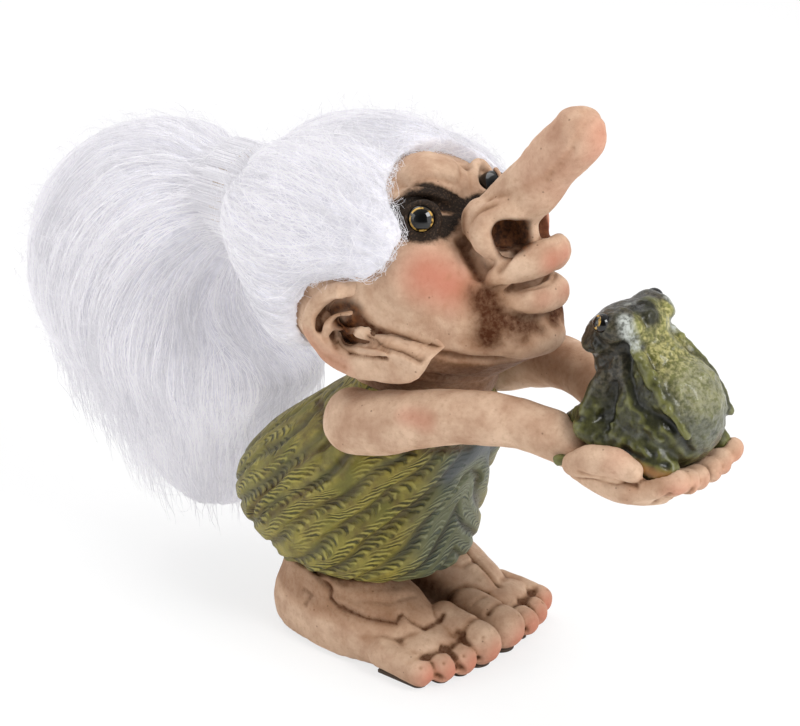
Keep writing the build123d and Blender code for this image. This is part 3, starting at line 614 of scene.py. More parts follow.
# Brown wash over the paint; under the arm it is painted shade.
wash_and_shade_mark = math_of(tree, "MULTIPLY", value_of(tree, "wash_and_shade"), remap(
    tree, cloud(tree, place, 0.8), 0.35, 0.65, 0.6, 1.1), clamp=True)
paint = blend_of(tree, wash_and_shade_mark, paint, srgb("#4A331B"))
height = math_of(tree, "SUBTRACT", math_of(tree, "MULTIPLY", cloud(tree, place, 0.7), 0.25), cut)
relief = add(tree, "ShaderNodeBump", [("Height", height), ("Strength", 0.9), ("Distance", 0.0004)])
close_shader(tree, add(tree, "ShaderNodeBsdfPrincipled", [
    ("Base Color", paint), ("Specular IOR Level", 0.3), ("Roughness", 0.48),
    ("Normal", relief.outputs[0])]))
coat(tunic, tunic_paint, "tunic", "tunic_body")


# Arms. Each arm is cast with its hand, glued into an armhole, and painted like the feet; the hands
# lie side by side as one cup.
arm = clay_from("arm_right", "arm_with_hand_right")
press_on(arm, roll(
    [(-16.5, -62.0, 66.5), (-16.8, -67.0, 69.0), (-15.8, -72.0, 70.0), (-15.0, -76.0, 68.8)],
    [2.6, 3.5, 3.4, 2.6]))
model_up(arm, 0.42, 7)
# Brown wash and painted shade along the underside of the arm, where it lies on the tunic.
tint(arm, "wash_and_shade", [
    (-12.0, 4.0, 60.0), (-20.0, 4.0, 57.5), (-22.5, -4.0, 56.8), (-19.0, -12.0, 57.0)], 2.4, 0.8, False)
stroke(
    arm, [(-16.5, -64.5, 69.7), (-13.0, -69.0, 70.6), (-11.8, -73.0, 69.6), (-12.8, -78.0, 67.7)], 1.8,
    0.6, 0.9, False)
stroke(arm, [(-19.6, -66.0, 66.5), (-18.6, -72.0, 66.0), (-15.8, -77.5, 65.5)], 1.6, 0.5, 0.6, False)
stroke(arm, [(-9.9, -77.0, 59.8), (-11.6, -81.0, 62.0), (-12.6, -84.0, 65.1)], 1.4, 0.6, 0.8, False)
stroke(arm, [(-6.0, -79.0, 60.2), (-7.4, -84.0, 62.4), (-7.6, -87.5, 65.6)], 1.4, 0.6, 0.8, False)
stroke(arm, [(-18.0, -57.0, 72.0), (-20.5, -57.5, 68.0), (-19.0, -58.0, 63.5)], 1.8, 0.3, 0.3, False)
tint(arm, "wash_and_shade", [(-7.0, -57.0, 71.0), (-7.0, -68.0, 68.0), (-9.0, -78.0, 67.0)], 5.0, 0.85, False)
tint(arm, "wash_and_shade", [(-16.0, -30.0, 77.0), (-12.0, -42.0, 77.0), (-8.0, -54.0, 74.0)], 4.5, 0.5, False)
tint(arm, "blush", [(-12.5, -86.0, 65.0), (-7.5, -89.0, 64.5), (-3.0, -90.0, 64.0)], 6.0, 0.55, False)
tint(arm, "wash_and_shade", [(-13.6, -78.5, 66.4), (-13.2, -82.0, 66.8), (-9.0, -85.0, 67.0)], 3.0, 0.5, False)
tint(arm, "blush", [(-16.0, -73.0, 70.5)], 5.0, 0.35, False)
rough(arm, 7.0, 0.45, 2)
rough(arm, 2.4, 0.10, 3)
far_arm = mirrored(arm, "arm_with_hand_left")
tint(arm, "blush", [(-27.6, -24.4, 70.5), (-25.6, -29.0, 70.0)], 4.2, 0.42, False)
tint(far_arm, "wash_and_shade", [
    (20.0, -16.0, 70.0), (16.0, -32.0, 69.0), (10.0, -46.0, 69.0), (6.0, -58.0, 69.0)], 9.0, 0.55, False)
for piece, node in ((arm, "arm_right"), (far_arm, "arm_left")):
    settle_wash(piece, 0.28, 0.95)
    coat(piece, skin, "skin", node)


# Head. One casting with the long nose, lips and chin, worked in soft rolls of clay; its neck peg is
# glued into the trunk. Brown wash sits in every crease and black is painted round the eyes.
wing_crease = [
    (-8.6, -33.6, 116.6), (-10.6, -30.0, 114.4), (-11.6, -27.6, 110.4), (-10.8, -27.6, 106.6),
    (-8.6, -28.6, 103.2)]
cheek_fold = [
    (-8.7, -25.1, 105.3), (-9.4, -27.6, 103.1), (-10.4, -30.3, 100.7), (-12.8, -33.6, 99.4),
    (-13.2, -34.4, 97.0)]
lip_split = [
    (-13.0, -34.4, 97.6), (-10.5, -36.8, 98.0), (-5.4, -40.5, 98.4), (-2.0, -43.4, 99.0),
    (0.0, -44.4, 99.2)]
under_lip = [(-11.0, -36.4, 92.4), (-7.7, -40.2, 91.2), (-4.6, -42.6, 90.8), (0.0, -43.8, 90.6)]
jaw_crease = [
    (-26.0, -12.0, 87.0), (-22.7, -19.1, 84.9), (-19.3, -24.7, 82.8), (-15.2, -29.7, 81.6),
    (-9.2, -36.1, 80.9), (0.0, -39.0, 80.6)]
ridge_side = [(-6.2, -33.1, 117.1), (-6.2, -38.4, 120.0), (-5.7, -44.5, 123.9), (-5.4, -48.2, 127.6)]

nostril_at = (5.6, -35.4, 108.4)
nostril_radii = (4.0, 5.2, 5.0)
head = clay_from("head", "head_with_nose")
press_on(head, egg((0.0, -36.6, 107.0), (1.9, 3.4, 2.6)))
for side in (-1, 1):
    press_on(head, roll(
        [(side * x, y, z) for x, y,
            z in ((17.4, -13.0, 110.6), (15.2, -11.8, 113.6), (11.4, -12.6, 114.8), (7.6, -15.2, 114.0),
                (4.6, -17.6, 112.0))], [0.8, 1.2, 1.3, 1.1, 0.7]))
    press_on(head, roll(
        [(side * x, y, z) for x, y,
            z in ((17.8, -14.6, 108.2), (16.8, -18.4, 106.4), (13.6, -21.0, 106.2), (9.6, -21.4, 107.0))],
            [0.8, 1.1, 1.2, 0.8]))
for side in (-1, 1):
    press_on(head, ring((side * 14.1, -17.9, 110.6), (side * 0.77, -0.55, 0.33), 3.7, 1.0))
modify(head, "REMESH", mode="VOXEL", voxel_size=0.5 * mm)
for side in (-1, 1):
    cutter = egg((side * nostril_at[0], nostril_at[1], nostril_at[2]), nostril_radii)
    modify(head, "BOOLEAN", operation="DIFFERENCE", object=cutter, solver="EXACT")
    bpy.data.objects.remove(cutter)
model_up(head, 0.49, 8)
for path, width, depth, wash_and_shade in (
        (cheek_fold, 2.6, 1.3, 0.95),
        (wing_crease, 1.8, 0.8, 0.75),
        (lip_split, 1.8, 1.2, 0.95),
        (under_lip, 2.6, 1.2, 0.95),
        (jaw_crease, 2.2, 1.2, 0.85),
        ([(-20.0, -20.0, 76.0), (-13.5, -25.6, 75.0), (-3.5, -28.2, 72.3), (0.0, -29.0, 72.0)], 2.0, 0.9,
            0.9),
        ([(-10.2, -36.4, 102.2), (-8.2, -38.4, 105.0), (-5.0, -40.2, 106.8), (0.0, -41.0, 107.6)], 1.6,
            0.7, 0.8),
        (ridge_side, 1.4, 0.35, 0.18),
        ([(-5.2, -44.9, 123.5), (-6.0, -48.6, 128.0), (-4.9, -51.0, 131.4)], 1.2, 0.3, 0.12),
        ([(1.3, -50.9, 138.7), (-2.5, -52.4, 137.2), (-4.9, -52.2, 134.5), (-5.6, -51.2, 131.9)], 1.5,
            0.4, 0.15),
        ([(-8.8, -16.1, 110.4), (-5.4, -18.8, 110.4), (-2.0, -20.4, 111.0)], 2.4, 0.9, 0.0),
        ([(-8.3, -11.0, 116.7), (-4.5, -14.4, 116.7), (-0.6, -17.4, 115.0)], 1.8, 0.8, 0.0),
        ([(-13.6, -31.0, 104.0), (-17.0, -27.0, 99.6), (-19.5, -24.0, 96.0)], 1.6, 0.25, 0.0),
        ([(-12.0, -33.8, 88.0), (-9.6, -37.2, 86.8), (-8.0, -38.8, 84.4)], 1.6, 0.5, 0.4)):
    stroke(head, path, width, depth, wash_and_shade)
spots = spots_of(head)
reach = np.clip((-36.5 - spots[:, 1]) / 3.0, 0, 1) * np.clip((109.5 - spots[:, 2]) / 2.5, 0, 1) * np.clip(
    (spots[:, 2] - 86.0) / 4.0, 0, 1)
spots[:, 1] += 0.24 * (-36.5 - spots[:, 1]) * reach
move_to(head, spots)
for path in (
        [(-5.6, -36.5, 121.2), (-5.0, -41.0, 124.0), (-3.6, -44.0, 127.0)],
        [(-6.4, -38.0, 118.2), (-6.4, -42.0, 121.2), (-6.0, -45.0, 123.2)],
        [(-4.6, -40.0, 124.8), (-4.4, -45.0, 128.0), (-4.0, -48.0, 131.5)],
        [(-3.0, -34.0, 121.8), (-2.6, -38.0, 124.6)]):
    stroke(head, path, 0.9, 0.3, 0.3, False)
rough(head, 8.0, 0.6, 3)
rough(head, 4.0, 0.22, 13)
rough(head, 1.6, 0.11, 8)
settle_wash(head, 0.46, 0.85)
# Brown wash and painted shade below the mouth corners and under the lower lip, darkest beneath the lip.
tint(head, "wash_and_shade", [(-12.4, -34.2, 95.6), (-11.6, -35.8, 91.6), (-11.8, -35.0, 87.6)], 8.6, 1.15)
tint(head, "wash_and_shade", [(-10.5, -37.6, 91.0), (-6.6, -41.2, 89.6), (-2.6, -42.4, 88.9)], 5.0, 1.25)
tint(head, "wash_and_shade", [(-9.6, -37.4, 88.4), (-6.6, -40.2, 87.0)], 5.0, 1.0)
tint(head, "wash_and_shade", [(-9.6, -37.0, 86.0), (-8.4, -38.0, 83.6)], 5.0, 0.6)
tint(head, "wash_and_shade", [(-9.2, -25.2, 112.0), (-9.6, -25.4, 109.0), (-9.8, -26.4, 105.6)], 2.6, 0.75)
tint(head, "wash_and_shade", [(-17.0, -15.2, 107.6), (-18.0, -18.0, 105.6)], 2.6, 0.8)
# Painted shade inside the nostrils and at the root of the ear on the head.
spots = spots_of(head)
mirrored_in = np.column_stack([np.abs(spots[:, 0]), spots[:, 1:]])
inside = np.linalg.norm((mirrored_in - nostril_at) / nostril_radii, axis=1)
keep_layer(head, "hollow", np.clip((1.26 - inside) / 0.26, 0, 1) * 0.95)
tint(head, "hollow", [
    (-25.8, -1.0, 87.6), (-26.0, -4.1, 90.1), (-25.8, -6.8, 91.3), (-25.6, -8.9, 90.9)], 3.2, 0.95)
tint(head, "hollow", [(-25.3, -5.7, 84.9), (-25.5, -7.7, 87.4), (-24.8, -6.5, 83.0)], 4.2, 1.1)
# Brown wash and painted shade along the crevice where the front of the ear meets the cheek.
tint(
    head, "wash_and_shade", [(-25.4, -9.9, 88.4), (-24.8, -12.6, 85.8), (-24.0, -16.4, 85.2), (-22.4, -20.6, 84.6),
        (-20.6, -24.4, 82.8)], 4.0, 1.3)
# Painted shade: a dark brown band below the jaw line, where the jaw shades the throat.
spots = spots_of(head)
jaw_line = np.interp(
    -np.abs(spots[:, 0]), (-30.0, -22.8, -15.3, -9.5, 0.0), (88.0, 85.0, 81.4, 80.8, 80.5))
shade_under_jaw = np.clip((jaw_line - spots[:, 2]) / 1.6, 0, 1) * np.clip((6.0 - spots[:, 1]) / 8.0, 0, 1)
keep_layer(head, "wash_and_shade", np.maximum(layer(head, "wash_and_shade"), 0.80 * shade_under_jaw))
tint(head, "blush", [(-17.3, -26.4, 99.4), (-19.4, -23.6, 100.8), (-15.6, -28.4, 98.0)], 9.6, 0.78)
tint(head, "blush", [(0.0, -54.5, 134.0), (0.0, -55.0, 130.5)], 9.0, 0.5)
tint(head, "blush", [(0.0, -42.0, 124.0), (0.0, -48.0, 131.0)], 12.0, 0.35)
tint(head, "blush", [(0.0, -48.0, 104.5), (-3.0, -47.0, 104.0)], 6.0, 0.9)
tint(head, "blush", [(0.0, -47.5, 95.5), (-4.0, -45.5, 95.5)], 5.0, 0.5)
tint(head, "blush", [(8.6, -34.0, 106.0), (8.0, -33.0, 110.0)], 4.6, 1.0, False)
tint(head, "soot", [(-14.0, -17.8, 110.6)], 8.4, 1.9)
tint(
    head, "soot", [(-16.6, -12.6, 110.8), (-12.0, -12.4, 112.8), (-8.0, -13.6, 113.2),
        (-3.8, -17.2, 112.0), (-1.2, -19.4, 110.6)], 4.6, 1.35)
tint(head, "soot", [
    (-17.0, -15.6, 107.6), (-15.6, -19.4, 106.4), (-12.0, -21.0, 107.0), (-7.0, -20.6, 109.2)], 3.4, 1.0)
tint(head, "soot", [(-9.0, -12.0, 115.4), (-4.0, -15.6, 114.4)], 3.2, 0.62)
tint(head, "soot", [(-9.4, -19.0, 110.6), (-6.4, -20.2, 110.6), (-4.4, -20.6, 110.4)], 2.8, 1.3)
soot_top = np.interp(spots_of(head)[:, 0], (-6.0, 0.0), (117.0, 112.0))
keep_layer(head, "soot", layer(head, "soot") * np.clip((soot_top - spots_of(head)[:, 2]) / 1.5, 0, 1))
coat(head, skin, "skin", "head")


# Ears. Each big cup-shaped ear is cast on its own and glued to the side of the head: a thick rim that
# ends in a long lobe, a fold inside it and a deep dark bowl. The left one is the right one mirrored.
ear_front = ((-25.5, -21.8, -17.6, -13.2, -10.5, -7.5), (83.4, 84.6, 85.0, 85.6, 88.2, 92.0))
ear = clay_from("ear_right", "ear_right_casting")
press_on(ear, roll(
    [(-28.4, -2.0, 83.2), (-27.9, -3.2, 86.2), (-27.2, -5.0, 88.4), (-26.6, -8.0, 90.0)],
    [1.1, 1.3, 1.2, 0.8]))
press_on(ear, roll([(-26.6, -9.4, 81.8), (-27.0, -13.6, 82.7), (-26.4, -18.0, 83.2)], [0.7, 0.9, 0.7]))
model_up(ear, 0.30, 6)
spots = spots_of(ear)
brow = np.interp(spots[:, 1], *ear_front)
sunk = np.clip((spots[:, 2] - brow + 0.4) / 1.6, 0, 1) * np.clip((-6.5 - spots[:, 1]) / 3.0, 0, 1)
spots[:, 0] += 5.0 * sunk
spots[:, 2] -= 1.7 * np.clip((83.5 - spots[:, 2]) / 4.0, 0, 1) * np.clip((2.0 - spots[:, 1]) / 8.0, 0, 1)
move_to(ear, spots)
for path, width, depth, wash_and_shade in (
        ([(-28.8, -0.8, 85.0), (-28.3, -1.0, 87.0), (-27.2, -2.0, 88.8), (-26.6, -4.3, 90.8),
            (-26.2, -7.0, 91.8)], 1.7, 1.4, 1.0),
        ([(-27.3, -7.5, 86.0), (-27.2, -5.8, 87.0), (-25.8, -7.7, 87.4), (-25.2, -6.6, 83.4)], 2.8, 1.8,
            1.0),
        ([(-27.0, -3.2, 83.8), (-28.0, -5.5, 81.9)], 1.2, 0.8, 1.0),
        ([(-25.8, -13.2, 85.2), (-26.2, -17.6, 84.9), (-25.2, -21.8, 84.4), (-24.0, -25.5, 83.0)], 1.8,
            0.8, 1.0),
        ([(-26.8, -4.7, 82.4), (-27.1, -8.5, 80.9), (-27.4, -13.3, 81.4), (-26.4, -18.0, 81.9)], 1.0, 0.6,
            0.85),
        ([(-26.4, -9.0, 83.2), (-26.8, -14.5, 83.6), (-26.0, -18.5, 83.4)], 1.0, 0.5, 0.8),
        ([(-30.8, 2.3, 85.5), (-30.9, 0.5, 82.6), (-30.4, -2.6, 79.8), (-29.4, -8.0, 77.9)], 1.6, 0.35,
            0.15)):
    stroke(ear, path, width, depth, wash_and_shade, False)
rough(ear, 5.0, 0.30, 6)
rough(ear, 1.8, 0.10, 16)
settle_wash(ear, 0.32, 0.95)
# Painted shade in the bowl of the ear.
tint(ear, "hollow", [
    (-27.0, -7.0, 86.0), (-26.6, -5.6, 86.8), (-25.5, -7.7, 87.4), (-24.9, -6.6, 83.1)], 3.0, 1.1, False)
tint(ear, "wash_and_shade", [(-27.8, -1.6, 87.6), (-26.8, -4.2, 90.2), (-26.2, -7.6, 91.4)], 3.0, 0.95, False)
# Painted shade on the front edge of the ear, along the same crevice, over its brown wash.
tint(
    ear, "wash_and_shade", [(-25.8, -13.2, 86.0), (-26.0, -17.6, 85.6), (-25.0, -21.8, 85.2), (-23.6, -25.6, 84.0)],
    1.8, 0.85, False)
tint(ear, "blush", [(-30.6, 1.4, 83.0), (-30.0, -2.0, 79.6), (-28.4, -8.0, 77.4)], 4.0, 0.35, False)
far_ear = mirrored(ear, "ear_left_casting")
coat(ear, skin, "skin", "ear_right")
coat(far_ear, skin, "skin", "ear_left")


# Eyes. Black glass beads with a fired gold ring, as doll's eyes are made, set in the sockets.
def bead_eye(name, centre, look, ring_angle, ring_width):
    """A polished bead whose gold ring is painted by its angle from the line of sight."""
    material, tree = finish_named(name + "_glass")
    place = add(tree, "ShaderNodeTexCoord").outputs["Object"]
    away = add(tree, "ShaderNodeVectorMath", [(0, place), (1, Vector(centre) * mm)], operation="SUBTRACT")
    unit = add(tree, "ShaderNodeVectorMath", [(0, away.outputs[0])], operation="NORMALIZE")
    angle = add(
        tree, "ShaderNodeVectorMath", [(0, unit.outputs[0]), (1, Vector(look).normalized())],
        operation="DOT_PRODUCT")
    off = math_of(tree, "ABSOLUTE", math_of(
        tree, "SUBTRACT", angle.outputs["Value"], math.cos(math.radians(ring_angle))))
    gold = remap(tree, off, ring_width * 0.6, ring_width, 1.0, 0.0)
    broken = remap(tree, cloud(tree, place, 1.3, 1.0), 0.42, 0.54, 0.05, 1.0)
    colour = blend_of(tree, math_of(tree, "MULTIPLY", gold, broken), srgb("#020202"), srgb("#C9A155"))
    close_shader(tree, add(tree, "ShaderNodeBsdfPrincipled", [
        ("Base Color", colour), ("Roughness", 0.04), ("IOR", 1.50)]))
    return material


def bead(name, node, centre, look, radius, ring_angle, ring_width):
    made = egg(centre, (radius, radius, radius))
    made.name = made.data.name = name
    coat(made, bead_eye(name, centre, look, ring_angle, ring_width), "eye_glass", node)


def middle_of(node):
    low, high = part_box(node)
    return tuple((low + high) / 2 / mm)


eye_radius = 4.0
eye_ring_angle = 38
eye_ring_width = 0.045
for side_name, look in (("right", (-0.77, -0.55, 0.33)), ("left", (0.77, -0.55, 0.33))):
    node = "eye_" + side_name
    bead("glass_" + node, node, middle_of(node), look, eye_radius, eye_ring_angle, eye_ring_width)


# Frog. It is cast on its own, painted moss green and grey over black, gloss varnished, and glued into
# the cupped hands. Its back is warty, with a fold down each flank.
frog = clay_from("frog_body", "frog")
chance = np.random.default_rng(11)
for side in (-1, 1):
    flank = [
        (side * 5.0, -66.0, 94.5), (side * 7.4, -72.0, 90.0), (side * 8.6, -79.0, 83.5),
        (side * 8.0, -84.5, 77.0)]
    press_on(frog, roll(flank, [1.5, 1.4, 1.5, 1.2]))
    press_on(frog, egg((side * 6.4, -64.0, 95.6), (4.4, 5.0, 3.8)))
    press_on(frog, roll(
        [(side * 4.0, -52.6, 90.0), (side * 7.2, -56.0, 90.0), (side * 9.0, -61.0, 90.6)],
        [1.2, 1.3, 1.3]))
    for reach in (-2.2, 0.0, 2.4):
        press_on(frog, roll(
            [(side * 8.0, -57.0, 72.6), (side * (8.4 + reach * 0.6), -53.4, 69.4),
                (side * (8.8 + reach), -51.4, 67.8)], [1.3, 1.0, 1.2]))
        press_on(frog, roll(
            [(side * 12.6, -66.0, 67.2), (side * (13.0 + reach * 0.5), -61.0, 66.4),
                (side * (13.6 + reach), -57.4, 66.0)], [1.5, 1.1, 1.3]))
press_on(frog, egg((0.0, -57.0, 91.0), (6.4, 6.6, 4.6), (-12, 0, 0)))
press_on(frog, egg((0.0, -60.0, 88.0), (7.4, 5.4, 7.6)))
press_on(frog, egg((-1.4, -68.6, 97.4), (2.6, 2.6, 2.2)), egg((1.8, -66.4, 98.2), (3.0, 3.0, 2.2)))
modify(frog, "REMESH", mode="VOXEL", voxel_size=0.6 * mm)
spots, normals = spots_of(frog), outward(frog)
back_side = np.flatnonzero(
    (normals[:, 2] > -0.25) & (normals[:, 1] < 0.45) & (spots[:, 2] > 70) & (spots[:, 2] < 92))
for index in chance.choice(back_side, 70, replace=False):
    size = 0.55 + 0.75 * chance.random() ** 2
    spot = spots[index] - normals[index] * size * 0.35
    press_on(frog, egg(tuple(spot), (size, size, size * 0.9)))
model_up(frog, 0.36, 5)
spots = spots_of(frog)
face = np.clip((spots[:, 1] + 66.0) / 4.0, 0, 1) * np.clip((spots[:, 2] - 80.0) / 5.0, 0, 1)
spots[:, 1] -= face * (spots[:, 1] + 66.0) * 0.20
move_to(frog, spots)
for path, width, depth, wash_and_shade in (
        ([(-9.6, -61.0, 90.0), (-8.6, -56.0, 88.4), (-5.0, -52.0, 88.0), (0.0, -50.6, 88.2)], 1.2, 0.7,
            0.9),
        ([(-7.6, -67.5, 93.0), (-9.4, -66.0, 90.5), (-10.0, -63.8, 88.0)], 2.0, 0.6, 1.0),
        ([(-6.6, -68.6, 91.5), (-8.6, -70.0, 86.2), (-10.8, -73.2, 82.4), (-11.2, -76.2, 81.4),
            (-10.2, -79.6, 80.2), (-8.0, -83.6, 76.6), (-6.2, -84.4, 72.0)], 1.9, 1.1, 1.0),
        ([(-9.6, -66.6, 84.0), (-10.4, -66.6, 78.9), (-11.6, -67.0, 75.0)], 1.9, 1.0, 1.0),
        ([(-13.6, -72.4, 72.4), (-13.0, -77.0, 71.4), (-11.0, -82.0, 70.4)], 1.2, 0.7, 1.0),
        ([(-12.6, -66.0, 77.0), (-13.6, -70.0, 78.6), (-13.4, -75.0, 77.0), (-12.4, -79.0, 73.0)], 1.8,
            0.9, 1.0),
        ([(-9.4, -70.0, 88.0), (-10.8, -74.0, 83.6), (-11.4, -78.5, 79.0)], 2.2, 0.8, 0.8)):
    stroke(frog, path, width, depth, wash_and_shade)
rough(frog, 2.6, 0.32, 7)
rough(frog, 1.1, 0.14, 9)
settle_wash(frog, 0.42, 1.0)
spots, normals = spots_of(frog), outward(frog)
keep_layer(frog, "ridge", ((spots - relaxed(frog, spots, 30)) * normals).sum(1) / 0.24 - 0.3)
moss = (
    np.clip((-67.0 - spots[:, 1]) / 2.0, 0, 1) * np.clip((8.6 - np.abs(spots[:, 0])) / 3.0, 0, 1)
    * np.clip((spots[:, 2] - 78.0) / 6.0, 0, 1) * np.clip((normals[:, 2] + 0.5) / 0.5, 0, 1))
keep_layer(frog, "moss", moss)
keep_layer(frog, "head", np.clip((spots[:, 2] - 78.0) / 6.0, 0, 1) * np.clip((spots[:, 1] + np.interp(
    np.abs(spots[:, 0]), (3.0, 6.0), (66.5, 69.6))) / 1.2, 0, 1))
keep_layer(
    frog, "rump", np.clip((-76.0 - spots[:, 1]) / 5.0, 0, 1) * np.clip((spots[:, 2] - 70.0) / 5.0, 0, 1)
    * np.clip((9.0 - np.abs(spots[:, 0])) / 3.0, 0, 1))
# Painted highlights: pale grey-white streaks on the head, along the crown and down the thigh.
tint(frog, "painted_highlight", [
    (-7.7, -67.8, 98.2), (-8.3, -68.8, 96.4), (-7.6, -69.6, 94.4), (-6.4, -69.6, 92.4)], 2.6, 1.3)
tint(frog, "painted_highlight", [(-1.8, -63.8, 99.1), (0.3, -66.0, 99.3), (2.4, -68.4, 98.6)], 0.9, 0.7, False)
tint(frog, "painted_highlight", [(-13.0, -73.0, 76.4), (-12.0, -78.0, 75.4), (-10.2, -82.0, 73.4)], 1.5, 0.55)
tint(frog, "wash_and_shade", [(-0.8, -68.0, 98.8), (-1.8, -69.8, 98.2)], 4.4, 1.7, False)
tint(frog, "wash_and_shade", [(-10.2, -62.0, 93.4)], 4.2, 1.1)
tint(frog, "orange", [
    (-14.2, -70.0, 70.0), (-13.8, -75.8, 69.8), (-13.2, -79.2, 68.8), (-11.4, -83.1, 68.2)], 2.0, 1.1)

frog_paint, tree = finish_named("gloss_varnished_moss_paint")
place = add(tree, "ShaderNodeTexCoord").outputs["Object"]
mottle = cloud(tree, place, 2.6, 5.0, 0.7)
fleck = cloud(tree, place, 0.9, 3.0, 0.6)
paint = blend_of(tree, remap(tree, mottle, 0.36, 0.64), srgb("#21220F"), srgb("#444422"))
mossy = math_of(tree, "MULTIPLY", value_of(tree, "moss"), remap(
    tree, mottle, 0.30, 0.60, 0.35, 1.0), clamp=True)
paint = blend_of(tree, mossy, paint, blend_of(
    tree, remap(tree, fleck, 0.42, 0.6), srgb("#6A6A34"), srgb("#B0A86E")))
paint = blend_of(tree, math_of(tree, "MULTIPLY", value_of(tree, "ridge"), 0.42), paint, srgb("#8C8C50"))
paint = blend_of(
    tree, math_of(tree, "MULTIPLY", value_of(tree, "rump"), remap(tree, fleck, 0.34, 0.66, 0.15, 0.70)),
    paint, srgb("#74766A"))
paint = blend_of(tree, math_of(tree, "MULTIPLY", value_of(tree, "head"), 0.85), paint, blend_of(
    tree, remap(tree, fleck, 0.4, 0.62), srgb("#1F1C17"), srgb("#4C453A")))
# Painted highlights, pale grey-white, broken up by flecks.
paint = blend_of(
    tree, math_of(tree, "MULTIPLY", value_of(tree, "painted_highlight"), remap(tree, fleck, 0.38, 0.55, 0.3, 1.0)),
    paint, srgb("#B4B8B2"))
paint = blend_of(tree, math_of(tree, "MULTIPLY", value_of(tree, "orange"), 0.8), paint, srgb("#9A6A36"))
paint = blend_of(tree, math_of(tree, "MULTIPLY", value_of(tree, "wash_and_shade"), 0.92), paint, srgb("#12130E"))
skin_bumps = add(tree, "ShaderNodeBump", [
    ("Height", cloud(tree, place, 0.7, 3.0)), ("Strength", 0.5), ("Distance", 0.0004)])
close_shader(tree, add(tree, "ShaderNodeBsdfPrincipled", [
    ("Base Color", paint), ("Specular IOR Level", 0.22), ("Roughness", 0.34), ("Coat Weight", 0.22),
    ("Coat Roughness", 0.08), ("Normal", skin_bumps.outputs[0])]))
coat(frog, frog_paint, "frog_skin", "frog_body")
frog_eye_radius = 2.1
frog_ring_angle = 42
frog_ring_width = 0.10
for side_name, look in (("right", (0.7, 0.45, 0.3)), ("left", (-0.7, 0.45, 0.3))):
    node = "frog_eye_" + side_name
    bead(node + "_bead", node, middle_of(node), look, frog_eye_radius, frog_ring_angle, frog_ring_width)


# Hair. Combed white wool is glued over the scalp, gathered behind the head by a thread, and hangs
# loose behind it. A soft core carries the mass; fine strands are laid along it and stray from it.
tie_spot = Vector((0.0, 46.5, 96.7))
tail_tip = Vector((0.0, 62.0, 6.0))
strand_points = 7


def scatter(piece, count, rng, chosen=None):
    """Random places on a piece's skin, as many to the square millimetre everywhere."""
    spots = spots_of(piece)
    piece.data.calc_loop_triangles()
    corners = np.zeros(len(piece.data.loop_triangles) * 3, int)
    piece.data.loop_triangles.foreach_get("vertices", corners)
    a, b, c = spots[corners.reshape(-1, 3).T]
    weight = np.linalg.norm(np.cross(b - a, c - a), axis=1)
    if chosen is not None:
        weight = weight * chosen((a + b + c) / 3)
    pick = rng.choice(len(weight), count, p=weight / weight.sum())
    u, v = rng.random((2, count))
    over = u + v > 1
    u[over], v[over] = 1 - u[over], 1 - v[over]
    return a[pick] + (b[pick] - a[pick]) * u[:, None] + (c[pick] - a[pick]) * v[:, None]


def skin_tree(piece):
    return BVHTree.FromPolygons([tuple(s) for s in spots_of(piece)], [
        tuple(p.vertices) for p in piece.data.polygons])


def to_tie(spot):
    return (tie_spot - spot).normalized()


def down_tail(spot):
    """Hair leaves the thread backwards, then falls and closes to a tip."""
    away = spot - Vector((0.0, 50.0, 94.0))
    fallen = min(1.0, max(0.0, (away.length - 8.0) / 62.0)) ** 0.9
    tip = tail_tip - spot
    return (away.normalized() * (1 - fallen) + (tip.normalized() * 0.55 + Vector((0, 0, -0.45))) * fallen
        * 1.25).normalized()


def combed(tree, starts, flow, lengths, lift, curl, rng, cling=1.0):
    """Paths that follow a flow along a surface; with less cling they drift away from it."""
    paths = np.zeros((len(starts), strand_points, 3))
    for row, start in enumerate(starts):
        spot = Vector(start)
        bend = Vector(rng.normal(size=3)) * curl
        height = lift[row]
        for index in range(strand_points):
            place, normal, _, _ = tree.find_nearest(spot)
            if index == 0 or cling == 1.0:
                ground, up = place, normal
            else:
                ground, up = spot - (spot - place) * cling, normal
            paths[row, index] = ground + up * height
            if index % 2:
                bend = bend * 0.4 + Vector(rng.normal(size=3)) * curl * 0.8
            heading = flow(ground) + bend
            if cling == 1.0:
                heading -= normal * heading.dot(normal)
            spot = ground + heading.normalized() * (lengths[row] / (strand_points - 1))
    return paths


